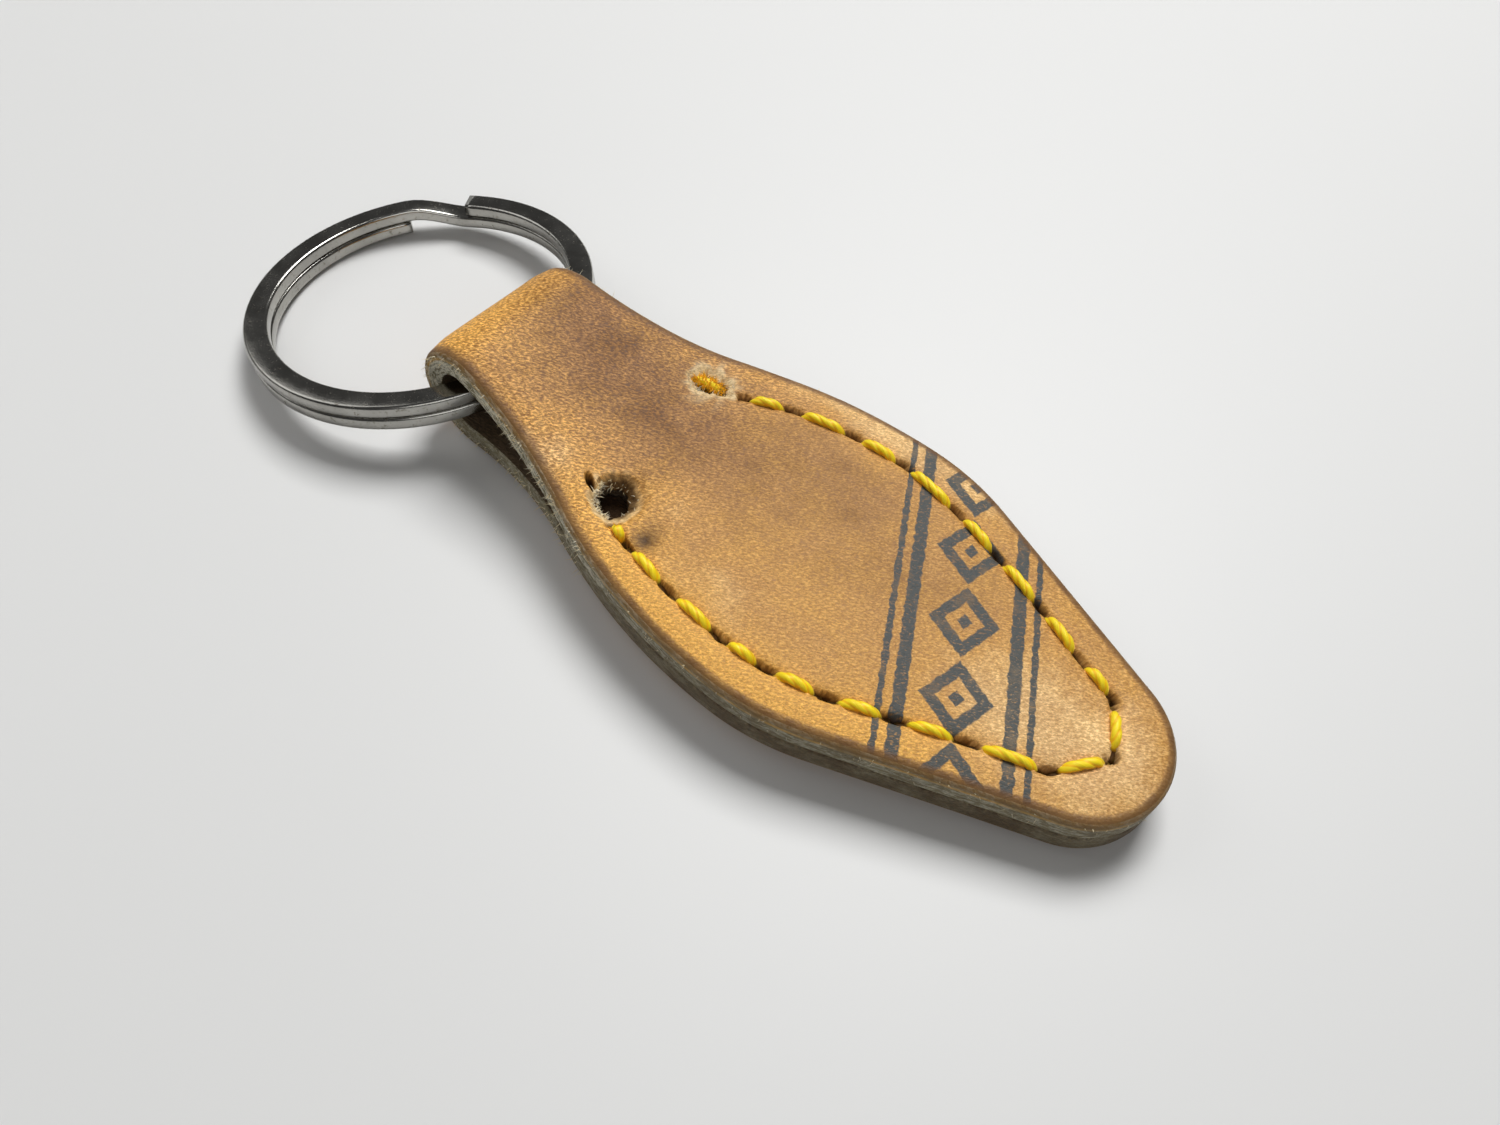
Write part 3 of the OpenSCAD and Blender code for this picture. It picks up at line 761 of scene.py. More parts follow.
def cut_strip(strip, half):
    """The strip laid out flat: a ring along its edge, drawn inwards, and a grid that fills the middle."""
    outline = strip.edge_ring(half, 0)
    bpy.ops.object.select_all(action="DESELECT")
    bpy.ops.mesh.primitive_circle_add(vertices=len(outline), radius=0.05, fill_type="NOTHING")
    piece = start_piece("leather_body.cover")
    mesh = bmesh.from_edit_mesh(piece.data)
    for vert, point in zip(mesh.verts, outline):
        vert.co = (*point, 0)
    ring = outline
    for inset in RING_INSETS:
        bpy.ops.mesh.extrude_edges_move()
        mesh = bmesh.from_edit_mesh(piece.data)
        inner = strip.edge_ring(half, inset * MM)
        tree = nearest(ring)
        for vert in mesh.verts:
            if vert.select:
                vert.co = (*inner[tree.find(vert.co)[1]], 0)
        ring = inner
    start = Vector((*ring[-CROSS_FACES // 2], 0))
    mesh.select_history.clear()
    mesh.select_history.add(min((v for v in mesh.verts if v.select), key=lambda v: (v.co - start).length))
    bmesh.update_edit_mesh(piece.data)
    bpy.ops.mesh.fill_grid(span=CROSS_FACES, offset=0, use_interp_simple=True)
    return piece


def hole_outlines(strip, needles):
    """The punched hole and the torn one in which the seam ends: the middle and the outline of each."""
    turns = np.radians(np.arange(0, 360, 5.0))
    ray = np.column_stack((np.cos(turns), np.sin(turns)))
    uneven = (0.96 + 0.08 * np.cos(2 * turns - 4.3) + 0.04 * np.sin(5 * turns) + 0.04 * np.sin(11 * turns))
    round_r = strip.leather.round_hole / 2 * uneven
    round_place = strip.round_hole_place(ROUND_HOLE_BACK, ROUND_HOLE_INSET)
    ragged = 1 + 0.12 * np.sin(3 * turns + 0.6) + 0.11 * np.sin(7 * turns + 2) + 0.07 * np.sin(13 * turns)
    torn_r = ragged / np.hypot(np.cos(turns - TORN_TURN) / TORN_HALF_LENGTH,
                               np.sin(turns - TORN_TURN) / TORN_HALF_WIDTH) * MM
    return (round_place, ray * round_r[:, None]), (needles[-1] + TORN_PLACE, ray * torn_r[:, None])


def hole_radius(turn, outline):
    """How far a hole's outline lies from its middle in this direction."""
    return np.interp(turn, np.arctan2(outline[:, 1], outline[:, 0]), np.hypot(*outline.T), period=math.tau)


def from_hole(w, y, place, outline):
    """Distance out from a hole's outline, measured from its middle."""
    turn = np.arctan2(y - place[1], w - place[0])
    return np.hypot(w - place[0], y - place[1]) - hole_radius(turn, outline)


def hole_ring(mesh, middle):
    """The open edge's vertices round a hole, in order."""
    edge = min((e for e in mesh.edges if e.is_boundary), key=lambda e: (e.verts[0].co.xy - middle).length)
    ring = [edge.verts[0]]
    while (vert := edge.other_vert(ring[-1])) is not ring[0]:
        ring.append(vert)
        edge = next(e for e in vert.link_edges if e.is_boundary and e is not edge)
    return ring


def punch(piece, place, outline):
    """Cut a hole with this outline of (w, y) points from its middle. Bands of even faces run round it."""
    middle = Vector(place)
    turns = np.radians(np.arange(-180, 181))
    radii = hole_radius(turns, outline)

    def outside(vert):
        return float(from_hole(vert.co.x, vert.co.y, place, outline))

    def lay(band):
        """Set the hole's open edge evenly round it, this far outside its outline, and choose it."""
        bpy.ops.mesh.select_mode(type="EDGE")
        bpy.ops.mesh.select_all(action="DESELECT")
        mesh = bmesh.from_edit_mesh(piece.data)
        ring = hole_ring(mesh, middle)
        line = (radii + band) * np.exp(1j * turns)
        way_round = running_sum(np.abs(np.diff(line)))
        way_round /= way_round[-1]
        now = np.interp([math.atan2(v.co.y - middle.y, v.co.x - middle.x) for v in ring], turns, way_round)
        around = np.exp(2j * math.pi * now)
        sense = np.sign(np.sum(np.angle(around[1:] / around[:-1])))
        even = sense * np.linspace(0, 1, len(ring), endpoint=False)
        even += np.angle(np.mean(around / np.exp(2j * math.pi * even))) / math.tau
        for vert, point in zip(ring, np.interp(even % 1, way_round, line)):
            vert.co.xy = middle + Vector((point.real, point.imag))
        for one, other in zip(ring, ring[1:] + ring[:1]):
            mesh.edges.get((one, other)).select_set(True)
        bmesh.update_edit_mesh(piece.data)

    choose(piece, "VERT", lambda v: outside(v) < HOLE_BANDS[0])
    bpy.ops.mesh.delete(type="VERT")
    lay(HOLE_BANDS[0])
    choose(piece, "VERT", lambda v: not v.is_boundary and outside(v) < HOLE_BANDS[0] + HOLE_EVENED)
    bpy.ops.mesh.vertices_smooth(factor=0.5, repeat=25)
    lay(HOLE_BANDS[0])
    for band in HOLE_BANDS[1:]:
        bpy.ops.mesh.extrude_edges_move()
        lay(band)


def refine(piece, place, reach):
    """Finer faces round a place, for a small mark to be pressed into."""
    middle = Vector(place)
    choose(piece, "FACE", lambda f: (f.calc_center_median().xy - middle).length < reach
           and not any(v.is_boundary for v in f.verts))
    bpy.ops.mesh.subdivide(number_cuts=2)


def thicken(piece, leather, holes):
    """Give the flat strip its thickness, round its rims and cut the new edges across for later shaping."""
    face_outwards()
    if sum(f.normal.z for f in bmesh.from_edit_mesh(piece.data).faces) < 0:
        bpy.ops.mesh.flip_normals()
    bpy.ops.object.mode_set(mode="OBJECT")
    solidify = piece.modifiers.new("thickness", "SOLIDIFY")
    solidify.thickness, solidify.offset, solidify.use_even_offset = leather.thickness, -1, True
    apply_modifiers(piece)
    bpy.ops.object.mode_set(mode="EDIT")

    def by_hole(edge):
        return any((edge.verts[0].co.xy - Vector(place)).length < np.hypot(*outline.T).max() + 0.1 * MM
                   for place, outline in holes)

    def rim_edge(edge, level, hole):
        """Whether an edge runs between a leaf's surface at this level and the cut edge."""
        if len(edge.link_faces) != 2 or sum(abs(v.co.z - level) for v in edge.verts) >= 1e-6:
            return False
        one, other = (abs(face.normal.z) for face in edge.link_faces)
        return abs(one - other) > 0.5 and by_hole(edge) == hole

    for level, hole, rounding, segments in (
            (0, False, leather.rim_round, 5), (-leather.thickness, False, leather.inner_round, 2),
            (0, True, HOLE_ROUND, 2)):
        choose(piece, "EDGE", lambda e: rim_edge(e, level, hole))
        bpy.ops.mesh.bevel(offset=rounding, segments=segments, profile=0.5, affect="EDGES")
    choose(piece, "EDGE", lambda e: abs(e.verts[0].co.z - e.verts[1].co.z) > 0.6 * MM)
    bpy.ops.mesh.subdivide(number_cuts=4)
    bpy.ops.object.mode_set(mode="OBJECT")


def from_seam(points, needles):
    """For each (w, y) point: its distances from the line of stitches and from the nearest needle hole."""
    line = np.full(len(points), 1.0)
    for a, b in zip(needles[:-1], needles[1:]):
        t = np.clip((points - a) @ (b - a) / ((b - a) @ (b - a)), 0, 1)
        line = np.minimum(line, np.hypot(*(points - a - t[:, None] * (b - a)).T))
    return line, np.min(np.hypot(*(points[:, None] - needles[None]).transpose(2, 0, 1)), axis=1)


class PressedLeather:
    """The thick strip while it still lies flat: for each vertex where it lies, how deep it is pressed in and
    how it is worn."""

    def __init__(self, mesh, strip, half, needles, holes):
        self.strip, self.leather, self.holes = strip, strip.leather, holes
        flat = coordinates(mesh)
        self.w, self.y, self.depth = flat[:, 0], flat[:, 1], -flat[:, 2]
        self.plan = np.column_stack((self.w, self.y))
        self.place = np.column_stack((self.w, self.y, self.depth))
        self.front = self.w > 0
        self.x = strip.side_view(self.w)[0]
        self.opened = fade(*NECK_END, self.x)
        self.grain_side = fade(0.05 * MM, self.leather.thickness, self.depth)
        self.measure_edge(half)
        self.press_seam(needles)
        self.press_holes()
        self.press += RIM_DISH * fade(0, RIM_DISH_REACH, self.rim) * self.grain_side
        to_stain = np.hypot(*(self.plan - holes[0][0] - STAIN_PLACE).T)
        self.stain = 0.97 * bell(to_stain / STAIN_RADIUS)
        self.press += STAIN_DENT * self.stain * self.grain_side
        lumps = rough(self.place * (1, 1, 0.3), LUMP_LENGTH, 1) * LUMP_HEIGHT
        self.press -= lumps * self.grain_side

    def measure_edge(self, half):
        """How far each vertex lies off the cut edge, how far round it, and which way is out there."""
        outline = self.strip.edge_ring(half, 0)
        tree = nearest(outline)
        found = [tree.find((*point, 0)) for point in self.plan]
        on_edge = [index for _, index, _ in found]
        self.rim = np.array([distance for _, _, distance in found])
        way = running_sum(np.hypot(*np.diff(outline, axis=0).T))[on_edge]
        self.round = np.minimum(way, way.max() - way)
        self.outward = (outline - self.strip.edge_ring(half, MM))[on_edge] / MM

    def press_seam(self, needles):
        """The seam is pulled into the front, and lies in a groove pressed into the back. The old cut is
        pressed in like the needle holes."""
        stitched, to_needle = from_seam(np.column_stack((np.abs(self.w), self.y)), needles)
        pit_length = np.where(self.y < NEAR_STITCHES, *PIT_LENGTHS)
        needle_pits = fade(0.55, 1.05, np.hypot(to_needle / pit_length, stitched / PIT_WIDTH))
        from_slit = self.plan - (self.holes[0][0] + SLIT_PLACE)
        along, across = from_slit @ SLIT_WAY, from_slit @ (-SLIT_WAY[1], SLIT_WAY[0])
        slit = fade(0.5, 1.0, np.hypot(along / SLIT_LENGTH, across / SLIT_WIDTH))
        self.pit = np.maximum(needle_pits, slit)
        pulled_in = 0.2 * MM * bell(stitched / (0.45 * MM)) + 0.1 * MM * bell(stitched / (1.5 * MM))
        groove = np.where(self.front, pulled_in, 1.0 * MM * fade(0.38 * MM, 0.72 * MM, stitched))
        self.press = np.maximum(groove, self.pit * PIT_DEPTH) * smoothstep(0.3, 0.9, self.grain_side)

    def press_holes(self):
        """The grain is drawn unevenly into the two old holes, over a wider band on one side of the punched
        hole. lit is 1 on the side of that hole that faces the light."""
        self.away = [from_hole(self.w, self.y, *hole) for hole in self.holes]
        shaggy = 1 + 0.22 * rough(self.place, 0.45 * MM, 4)
        middle = self.holes[0][0]
        turn = np.arctan2(self.y - middle[1], self.w - middle[0])
        self.lit = 0.5 + 0.5 * np.cos(turn + 1.75)
        bands = ((1.0 + 0.55 * np.cos(turn + 0.25)) * MM, 0.75 * MM)
        self.cones = [
            dish * np.clip(1 - outside / band, 0, 1) ** 1.15 * shaggy * self.front
            * smoothstep(0.25, 0.95, self.grain_side)
            for outside, dish, band in zip(self.away, HOLE_DISHES, bands)]
        self.press += sum(self.cones)

    def folded(self):
        """The vertices once pressed and folded, with fibres that stand out of the cut edge."""
        ragged = (rough(self.place, 0.75 * MM, 2) - 0.3) * (0.04 + 0.1 * self.opened)
        ragged *= (self.rim < ON_EDGE) * smoothstep(0.4 * MM, 0.8 * MM, self.depth) * MM
        w, y = self.w + self.outward[:, 0] * ragged, self.y + self.outward[:, 1] * ragged
        points = self.strip.fold(w, y, self.depth + self.press)
        points[:, 2] = np.maximum(points[:, 2], cad_low.z)
        return points

    def grain_tones(self):
        """Pale and brown patches, and the gold along the near rim and on the fold."""
        x, y = self.x, self.y
        tone = np.zeros(len(x))
        for middle_x, middle_y, reach_x, reach_y, amount in GRAIN_PATCHES:
            away_x, away_y = (x / MM - middle_x) / reach_x, (y / MM - middle_y) / reach_y
            tone += amount * np.exp(-away_x ** 2 - away_y ** 2)
        gold = (0.9 * fade(1.5 * MM, 7 * MM, self.rim) * smoothstep(14 * MM, 26 * MM, x)
                * fade(0, 7 * MM, y) * fade(50 * MM, 62 * MM, x)
                + 0.7 * fade(2 * MM, 8 * MM, x) * (1 - 0.7 * smoothstep(0, 7 * MM, y)))
        return tone, gold

    def torn_grain_and_lit_wall(self):
        torn = np.zeros(len(self.w))
        frayed = 0.5 * MM * rough(self.place * (1, 1, 0), 0.6 * MM, 6)
        for outside, (full, gone, amount) in zip(self.away, TORN_GRAIN):
            torn = np.maximum(torn, amount * fade(full, gone, outside + frayed) * self.front)
        # Round the punched hole the pale torn colour is stronger on the side facing the light and spreads
        # down its funnel: torn fibres with painted light
        return np.maximum(torn * np.where(self.away[1] < 4 * MM, 1, 0.3 + 0.7 * self.lit),
                          (0.25 + 0.6 * self.lit) * smoothstep(0.05 * MM, 0.4 * MM, self.cones[0]))

    def hole_shade_and_stain(self):
        """Painted shade in the needle holes and the old cut, the stain on the grain side, and painted shade
        down the punched hole, deeper and on its side away from the light.
        """
        depth, thickness = self.depth, self.leather.thickness
        wall = depth * (self.away[0] < 0.1 * MM)
        deep = np.maximum(self.cones[0] * (2.2 - 1.2 * self.lit), wall) * self.front
        below = from_hole(-self.w, self.y, *self.holes[0]) * ~self.front * (depth > 0.9 * thickness)
        hole = np.maximum(smoothstep(0.6 * MM, 1.7 * MM, deep), fade(0, 1.5 * MM, np.where(below, below, 1)))
        marks = np.maximum(np.minimum(1.5 * self.pit, 1), self.stain) * (depth < 0.1 * MM)
        return np.maximum(marks, 0.9 * hole)

    def rim_way(self):
        """Way in from the rim's rounding, measured along the surface: negative on the rounding itself."""
        radius = self.leather.rim_round
        bent = np.arctan2(np.maximum(radius - self.rim, 0), np.maximum(radius - self.depth, 1e-9))
        return np.where(self.rim > radius, self.rim - radius, -radius * bent)

    def store_wear(self, mesh):
        """Keep what the materials read, lengths in millimetres, and a map of the flat strip."""
        tone, gold = self.grain_tones()
        for name, values in (
                ("rim", self.rim_way() / MM), ("depth", self.depth / MM), ("round", self.round / MM),
                ("pit", self.hole_shade_and_stain()), ("tone", tone), ("gold", gold), ("torn", self.torn_grain_and_lit_wall()),
                ("open", self.opened)):
            store(mesh, name, values)
        loops = np.empty(len(mesh.loops), np.int32)
        mesh.loops.foreach_get("vertex_index", loops)
        strip_map = mesh.uv_layers.new(name="strip")
        strip_map.data.foreach_set("uv", (self.plan[loops] / MM).astype(np.float32).ravel())

    def share_materials(self, mesh):
        """Grain on the outer side, flesh on the inner one, and the cut edge between them."""
        leather = self.leather
        for material in (grain_material(leather), edge_material(leather), flesh_material(leather)):
            mesh.materials.append(material)
        for face in mesh.polygons:
            level = self.depth[list(face.vertices)].mean()
            inner = 2 if level > leather.thickness - 1e-6 else 1
            face.material_index = 0 if level < 0.3 * leather.rim_round else inner

    def fibre_groups(self):
        """Where fibres stand out: the cut edge by the fold, the rest of that edge, and the two old holes.
        The holes' vertices are listed by place, because a bevel can number them differently in each run."""
        x, depth, front, near = self.x, self.depth, self.front, self.y < 0
        tunnel_end, flare = 9 * MM, 24 * MM
        clear = (self.rim < ON_EDGE) & (depth > 0.35 * MM) & (depth < 2.2 * MM)
        clear &= (x > tunnel_end) | (depth < 1.3 * MM)
        round_cone, torn_cone = self.cones
        left = (self.plan - self.holes[0][0]) @ (-0.82, -0.57) > 0.2 * MM
        upper = depth < 0.3 * MM
        edge_groups = (
            (clear & near & front & (x < flare), 150, 0.25, 0.75, 0.085),
            (clear & near & ~front & (x < flare), 80, 0.25, 0.8, 0.085),
            (clear & ~near & (x < tunnel_end), 60, 0.3, 0.9, 0.08),
            (clear & ~near & front & (x > tunnel_end) & (x < 45 * MM), 40, 0.15, 0.4, 0.07),
            (clear & near & front & (x > flare), 70, 0.12, 0.35, 0.08))
        hole_groups = (
            ((round_cone > 0.45 * MM) & upper & left, 120, 0.2, 0.5, 0.16),
            ((round_cone > 0.2 * MM) & upper & ~left, 16, 0.15, 0.3, 0.1),
            ((torn_cone > 0.01 * MM) & (torn_cone < 0.6 * MM) & (depth < 0.1 * MM), 90, 0.2, 0.6, 0.08))
        by_place = np.lexsort(self.place.T)
        groups = [(np.flatnonzero(mask), *fibres) for mask, *fibres in edge_groups]
        return groups + [(by_place[mask[by_place]], *fibres) for mask, *fibres in hole_groups]


def add_fibres(piece, material, groups):
    """Fibres that stand out of a piece: one hair, copied to vertices drawn from each group and joined to the
    piece. A group is its vertices, a count, and in millimetres the least and greatest length and width."""
    bpy.ops.object.select_all(action="DESELECT")
    bpy.ops.mesh.primitive_cone_add(vertices=4, radius1=0.5, radius2=0.0, depth=1, end_fill_type="NOTHING")
    hair = start_piece("fibre")
    choose(hair, "EDGE", lambda e: abs(e.verts[0].co.z - e.verts[1].co.z) > 0.5)
    bpy.ops.mesh.subdivide(number_cuts=2)
    for vert in bmesh.from_edit_mesh(hair.data).verts:
        vert.co.z += 0.45
        vert.co.x += 2.5 * max(vert.co.z, 0) ** 2
    bpy.ops.object.mode_set(mode="OBJECT")
    hair.data.materials.append(material)
    random = np.random.default_rng(5)
    verts = piece.data.vertices
    copies = []
    for vertices, count, least, greatest, width in groups:
        for i in random.choice(vertices, count):
            way = verts[i].normal + Vector(random.normal(0, 0.42, 3))
            turn = way.to_track_quat("Z", "Y").to_matrix().to_4x4()
            turn = turn @ Matrix.Rotation(random.uniform(0, math.tau), 4, "Z")
            thick = width * random.uniform(0.6, 1.2) * MM
            scale = Matrix.Diagonal((thick, thick, random.uniform(least, greatest) * MM, 1))
            copy = bpy.data.objects.new("fibre", hair.data)
            copy.matrix_world = Matrix.Translation(verts[i].co) @ turn @ scale
            bpy.context.scene.collection.objects.link(copy)
            copies.append(copy)
    bpy.data.objects.remove(hair)
    for copy in copies:
        copy.select_set(True)
    bpy.context.view_layer.objects.active = piece
    piece.select_set(True)
    bpy.ops.object.join()


class MESH_OT_fob_leather(bpy.types.Operator):
    """Cut, punch, press and fold the leather strip"""
    bl_idname = "mesh.fob_leather"
    bl_label = "Leather Body"

    def execute(self, context):
        leather, seam = context.scene.fob_leather, context.scene.fob_seam
        strip = LeatherStrip(leather)
        half = strip.half_edge(EDGE_STEP, seam.inset)
        needles = strip.needle_holes(half, seam)
        holes = hole_outlines(strip, needles)
        piece = cut_strip(strip, half)
        for place, outline in holes:
            punch(piece, place, outline)
        for mark, reach in ((SLIT_PLACE, 1.1 * MM), (STAIN_PLACE, 1.3 * MM)):
            refine(piece, holes[0][0] + mark, reach)
        thicken(piece, leather, holes)
        pressed = PressedLeather(piece.data, strip, half, needles, holes)
        piece.data.vertices.foreach_set("co", pressed.folded().astype(np.float32).ravel())
        pressed.store_wear(piece.data)
        pressed.share_materials(piece.data)
        add_fibres(piece, fibre_material(leather), pressed.fibre_groups())
        finish_piece(piece, "fob", "leather", "leather_body")
        return {"FINISHED"}


# Thread

PLY_FACES = 18
THREAD_STEP = 0.2 * MM
# The end that lies in the torn hole, in millimetres: way past the last needle hole, and height
LOOSE_END = ((0.6, -2.0), (1.3, -1.6), (1.8, -1.0), (2.3, -0.5), (3.0, -0.28), (3.7, -0.35), (4.2, -0.7))
# How the thread dives into a needle hole on the front, in millimetres: way before the hole, and depth
FRONT_DIP = ((-2.36, 0), (-2.06, 0.05), (-1.77, 0.2), (-1.52, 0.42), (-1.32, 0.7), (-1.14, 1.05))
# Stitches at the tip and on the far side lie longer on the leather, and dive within this share of that way
FAR_DIP = 0.74
# A dive takes up this share of the way to the next needle hole at most
DIP_ROOM = 0.43
# Between these depths below a stitch the thread turns from clean to dark: painted shade in the needle holes,
# with some soil
SHADE_SOIL_FROM, SHADE_SOIL_TO = 0.42 * MM, 0.85 * MM


def stitch_path(strip, needles, seam, side):
    """Points of one thread, and how far each lies below a stitch: level along each stitch, and down between
    the leaves at each needle hole. side is 1 on the front and -1 on the back."""
    level = seam.thread / 2 - seam.sink if side > 0 else -seam.back_depth
    leg = seam.thread / 2 + 0.03 * MM
    foot = -(strip.leather.thickness - leg)
    if side > 0:
        dip = [(a * MM, level - d * MM) for a, d in FRONT_DIP]
    else:
        dip = [(-2 * leg + leg * math.sin(a), level - leg * (1 - math.cos(a)))
               for a in np.radians((0, 30, 60, 90))]
    turn = [(-leg * math.cos(a), foot + leg * (1 - math.sin(a)))
            for a in np.radians((0, 30, 60, 90, 120, 150, 180))]
    down = [(-leg, dip[-1][1] * (1 - t) + turn[0][1] * t) for t in (0.33, 0.67)]
    whole = dip + down + turn + [(-a, h) for a, h in (dip + down)[::-1]]
    middle = len(whole) // 2
    path = []
    for i, hole in enumerate(needles):
        before = hole - needles[i - 1] if i else needles[1] - hole
        after = needles[i + 1] - hole if i + 1 < len(needles) else before
        shape = whole[middle:] if i == 0 else whole[:middle + 1] if i == len(needles) - 1 else whole
        longest = 1 if hole[1] < NEAR_STITCHES else FAR_DIP
        for a, h in shape:
            way = before if a < 0 else after
            room = np.hypot(*way)
            drawn_in = min(longest, (DIP_ROOM * room - leg) / (-dip[0][0] - leg))
            if abs(a) > leg:
                a = math.copysign(leg + (abs(a) - leg) * drawn_in, a)
            path.append((*(hole + way / room * a), h))
    if side > 0:
        for a, h in LOOSE_END:
            path.append((*(needles[-1] + TORN_PLACE / np.hypot(*TORN_PLACE) * a * MM), h * MM))
    path = np.array(path)
    return strip.fold(path[:, 0] * side, path[:, 1], -path[:, 2]), level - path[:, 2]


def path_guide(name, path):
    """A curve through these points, for a modifier to lay a piece along."""
    curve = bpy.data.curves.new(name, "CURVE")
    curve.dimensions, curve.twist_mode = "3D", "MINIMUM"
    spline = curve.splines.new("POLY")
    spline.points.add(len(path) - 1)
    spline.points.foreach_set("co", np.column_stack((path, np.ones(len(path)))).astype(np.float32).ravel())
    guide = bpy.data.objects.new(name, curve)
    bpy.context.scene.collection.objects.link(guide)
    return guide


def twisted_thread(name, path, dive, seam):
    """Three plies twisted together and laid along a path. dive is how far its points lie below a stitch."""
    guide = path_guide(name + ".path", path)
    way_along = running_sum(np.linalg.norm(np.diff(path, axis=0), axis=1))
    length = float(way_along[-1])
    bpy.ops.object.select_all(action="DESELECT")
    bpy.ops.mesh.primitive_circle_add(vertices=PLY_FACES, radius=seam.thread / 2, fill_type="NOTHING",
                                      rotation=(0, math.pi / 2, 0))
    bpy.ops.object.transform_apply(location=False, rotation=True, scale=False)
    piece = start_piece(name)
    for vert in bmesh.from_edit_mesh(piece.data).verts:
        turn = math.atan2(vert.co.z, vert.co.y)
        vert.co *= 0.75 + 0.17 * abs(math.cos(1.5 * turn)) ** 0.6
    bpy.ops.object.mode_set(mode="OBJECT")
    screw = piece.modifiers.new("twist", "SCREW")
    screw.axis, screw.screw_offset, screw.angle = "X", length, math.tau * length / seam.twist
    screw.steps = screw.render_steps = math.ceil(length / THREAD_STEP)
    apply_modifiers(piece)
    along, across, up = coordinates(piece.data).T
    turned = np.arctan2(up, across) - math.tau * along / seam.twist
    store(piece.data, "along", along / MM)
    store(piece.data, "sunk", smoothstep(SHADE_SOIL_FROM, SHADE_SOIL_TO, np.interp(along, way_along, dive)))
    store(piece.data, "turn", np.sin(turned) * seam.thread / 2 / MM)
    store(piece.data, "crown", np.hypot(across, up) / (seam.thread / 2))
    bend = piece.modifiers.new("lay", "CURVE")
    bend.object, bend.deform_axis = guide, "POS_X"
    apply_modifiers(piece)
    bpy.data.objects.remove(guide)
    bpy.ops.object.mode_set(mode="EDIT")
    close_ends(piece)
    return piece


class MESH_OT_fob_threads(bpy.types.Operator):
    """Lay the needle thread on the front and the bobbin thread on the back"""
    bl_idname = "mesh.fob_threads"
    bl_label = "Seam Threads"

    def execute(self, context):
        seam = context.scene.fob_seam
        strip = LeatherStrip(context.scene.fob_leather)
        needles = strip.needle_holes(strip.half_edge(EDGE_STEP, seam.inset), seam)
        material = thread_material(seam)
        for node, side in (("front_thread", 1), ("back_thread", -1)):
            piece = twisted_thread(node + ".plies", *stitch_path(strip, needles, seam, side), seam)
            piece.data.materials.append(material)
            store(piece.data, "top", [abs(v.normal.z) for v in piece.data.vertices])
            if side > 0:
                ends = strip.fold(*np.array((needles[0], needles[-1] + TORN_PLACE)).T, np.zeros(2))
                points = coordinates(piece.data)
                first, last = (np.linalg.norm(points - end, axis=1) for end in ends)
                add_fibres(piece, material, (
                    (np.flatnonzero(first < 1.4 * MM), 40, 0.15, 0.45, 0.07),
                    (np.flatnonzero(last < 2.1 * MM), 340, 0.3, 0.8, 0.1)))
            finish_piece(piece, "fob", "thread", node)
        return {"FINISHED"}


# Split ring

WIRE_STEP = math.radians(3)


class MESH_OT_fob_split_ring(bpy.types.Operator):
    """Wind the flat wire in two turns with a step between them"""
    bl_idname = "mesh.fob_split_ring"
    bl_label = "Split Ring"

    def execute(self, context):
        ring, leather = context.scene.fob_ring, context.scene.fob_leather
        outer = ring.diameter / 2
        inner = outer - ring.wire_width
        start = ring.jog_place - ring.jog_angle / 2
        turn = math.tau - ring.jog_angle
        whole = 2 * turn + ring.jog_angle
        bpy.ops.object.select_all(action="DESELECT")
        bpy.ops.mesh.primitive_plane_add(size=1)
        piece = start_piece("split_ring.wire")
        bpy.ops.transform.resize(value=(ring.wire_width, ring.wire_height, 1))
        bpy.ops.mesh.bevel(offset=ring.rounding, segments=4, affect="VERTICES")
        mesh = bmesh.from_edit_mesh(piece.data)
        for vert in mesh.verts:
            across, up = vert.co.x, vert.co.y
            radius = (outer + inner) / 2 + across
            vert.co = (radius * math.cos(start), radius * math.sin(start), up)
        bmesh.update_edit_mesh(piece.data)
        section = len(mesh.verts)
        bpy.ops.mesh.delete(type="ONLY_FACE")
        bpy.ops.mesh.select_all(action="SELECT")
        steps = round(whole / WIRE_STEP)
        bpy.ops.mesh.spin(steps=steps, angle=whole, center=(0, 0, 0), axis=(0, 0, 1))
        mesh = bmesh.from_edit_mesh(piece.data)
        level = (ring.wire_height + ring.turn_gap) / 2
        for i, vert in enumerate(mesh.verts):
            gone = (i // section) * whole / steps
            vert.co.z += level * (1 - 2 * float(smoothstep(turn, turn + ring.jog_angle, gone)))
        bmesh.update_edit_mesh(piece.data)
        close_ends(piece)
        pivot_r = (outer + math.sqrt(inner ** 2 - (leather.neck_width / 2) ** 2)) / 2
        tilt = down_angle(pivot_r + outer, ring.wire_height + ring.turn_gap / 2)
        piece.data.transform(Matrix.Translation(swing_axis) @ Matrix.Rotation(-tilt, 4, "Y")
                             @ Matrix.Translation((-pivot_r, 0, 0)))
        piece.data.materials.append(nickel_material(ring))
        finish_piece(piece, "ring", "ring_metal", "split_ring")
        return {"FINISHED"}


# Stage

FLOOR_WIDTH = 3.0
ROOM_LIGHT = 0.075
# Soft lamps: name, place, width and power
LAMPS = (
    ("key", (-0.1, 0.32, 0.54), 0.3, 3.9),
    ("side", (-0.5, -0.1, 0.4), 0.4, 0.6),
    ("fill", (0.4, -0.4, 0.5), 0.5, 1.0))
# The point on the floor that the camera looks at
CAMERA_TARGET = Vector((9.948 * MM, -1.065 * MM, 0))
SENSOR_WIDTH = 36


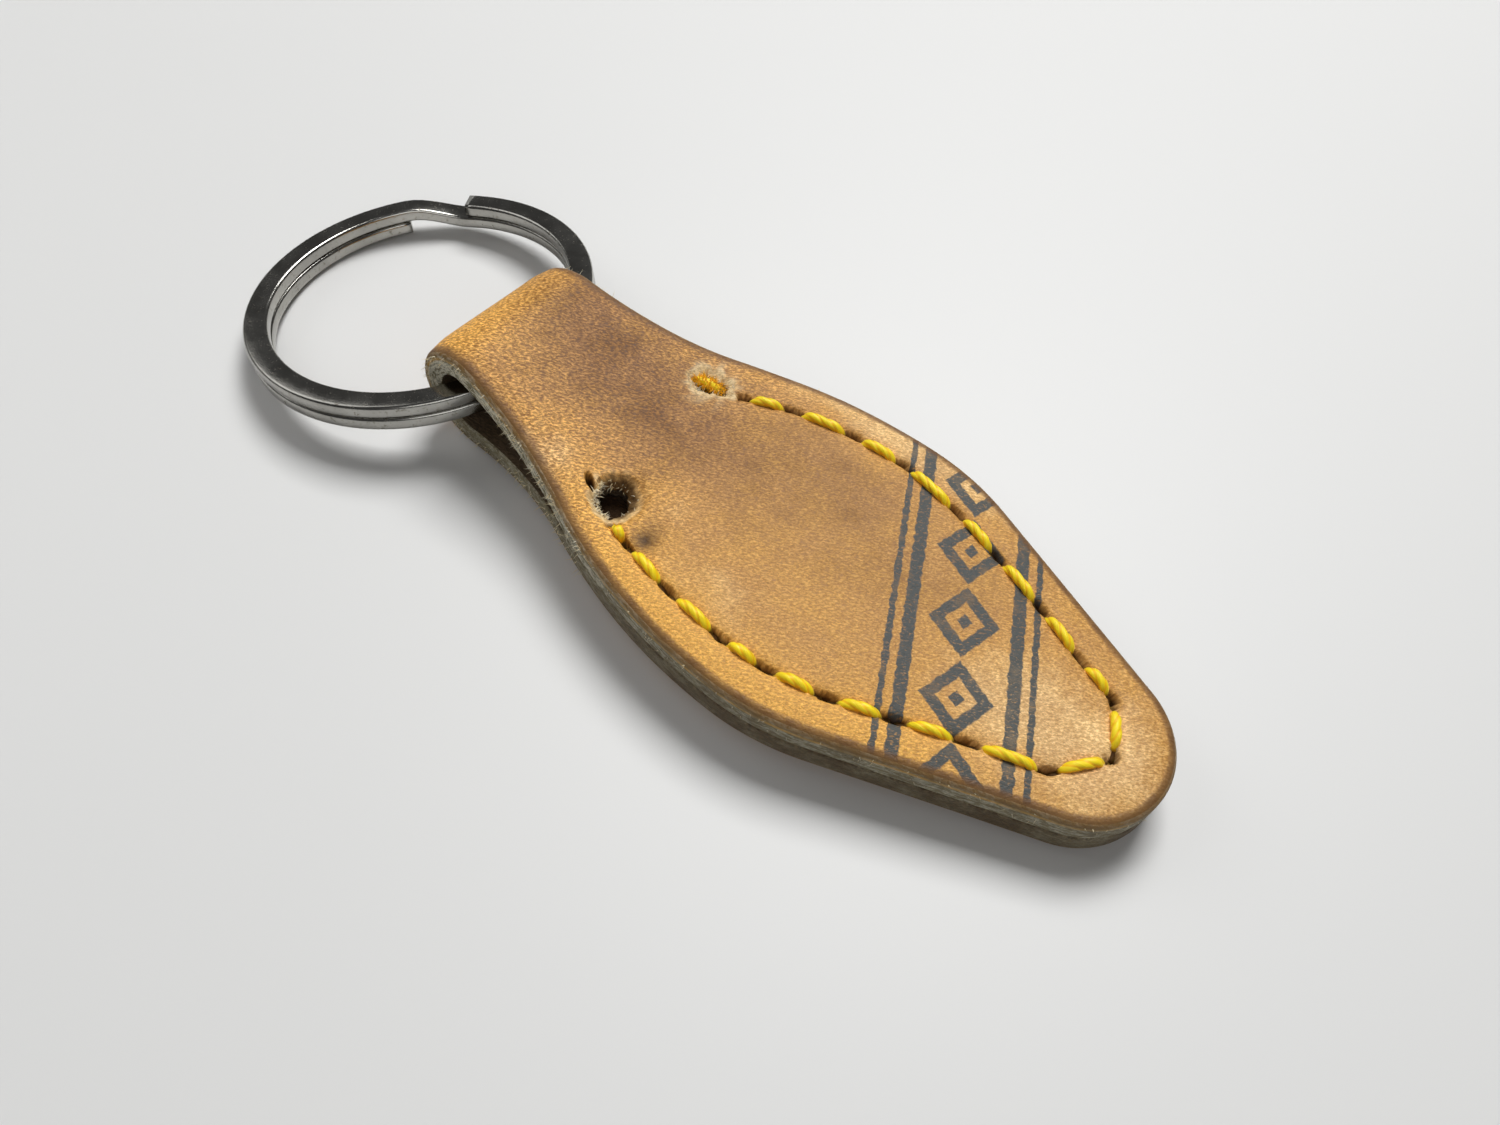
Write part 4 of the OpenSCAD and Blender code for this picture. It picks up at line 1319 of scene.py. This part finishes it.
class SCENE_OT_fob_stage(bpy.types.Operator):
    """Set up the floor, the lamps and the camera"""
    bl_idname = "scene.fob_stage"
    bl_label = "Stage"

    def execute(self, context):
        stage = context.scene.fob_stage
        scene = context.scene
        scene.view_settings.view_transform = "Standard"
        bpy.ops.object.select_all(action="DESELECT")
        bpy.ops.mesh.primitive_plane_add(size=FLOOR_WIDTH, location=(0, 0, cad_low.z))
        floor = context.object
        floor.name = "floor"
        floor.data.materials.append(new_material("floor", Base_Color=(*stage.floor, 1))[0])
        world = bpy.data.worlds.new("soft room")
        world.use_nodes = True
        world.node_tree.nodes["Background"].inputs["Color"].default_value = (1, 1, 1, 1)
        world.node_tree.nodes["Background"].inputs["Strength"].default_value = ROOM_LIGHT
        scene.world = world
        for name, place, width, power in LAMPS:
            lamp = bpy.data.objects.new(name, bpy.data.lights.new(name, "AREA"))
            lamp.data.energy, lamp.data.size, lamp.location = power, width, place
            lamp.rotation_euler = (-lamp.location).to_track_quat("-Z", "Y").to_euler()
            scene.collection.objects.link(lamp)

        turn, height, roll = stage.camera_turn, stage.camera_height, stage.camera_roll
        level = math.cos(height)
        back = Vector((math.sin(turn) * level, -math.cos(turn) * level, math.sin(height)))
        right = (-back).cross(Vector((0, 0, 1))).normalized()
        up = right.cross(-back)
        camera = bpy.data.objects.new("camera", bpy.data.cameras.new("camera"))
        camera.data.lens, camera.data.sensor_width = stage.camera_lens, SENSOR_WIDTH
        camera.data.clip_start, camera.data.clip_end = 1 * MM, 10
        camera.matrix_world = Matrix.Translation(CAMERA_TARGET + back * stage.camera_distance) @ Matrix((
            math.cos(roll) * right + math.sin(roll) * up,
            -math.sin(roll) * right + math.cos(roll) * up,
            back)).transposed().to_4x4()
        scene.collection.objects.link(camera)
        scene.camera = camera
        return {"FINISHED"}


class VIEW3D_PT_key_fob(bpy.types.Panel):
    bl_label = "Leather Key Fob"
    bl_idname = "VIEW3D_PT_key_fob"
    bl_space_type = "VIEW_3D"
    bl_region_type = "UI"
    bl_category = "Key Fob"

    def draw(self, context):
        for operator in OPERATORS:
            self.layout.operator(operator.bl_idname)


OPERATORS = (MESH_OT_fob_leather, MESH_OT_fob_threads, MESH_OT_fob_split_ring, SCENE_OT_fob_stage)
SETTINGS = {
    "fob_leather": FobLeatherSettings,
    "fob_seam": FobSeamSettings,
    "fob_ring": FobRingSettings,
    "fob_stage": FobStageSettings,
}


def register():
    for cls in (*SETTINGS.values(), *OPERATORS, VIEW3D_PT_key_fob):
        bpy.utils.register_class(cls)
    for name, cls in SETTINGS.items():
        setattr(bpy.types.Scene, name, bpy.props.PointerProperty(type=cls))


def unregister():
    for name in SETTINGS:
        delattr(bpy.types.Scene, name)
    for cls in reversed((*SETTINGS.values(), *OPERATORS, VIEW3D_PT_key_fob)):
        bpy.utils.unregister_class(cls)


def main():
    register()
    make_effects()
    bpy.ops.mesh.fob_leather()
    bpy.ops.mesh.fob_threads()
    bpy.ops.mesh.fob_split_ring()
    bpy.ops.scene.fob_stage()


if __name__ == "__main__":
    main()
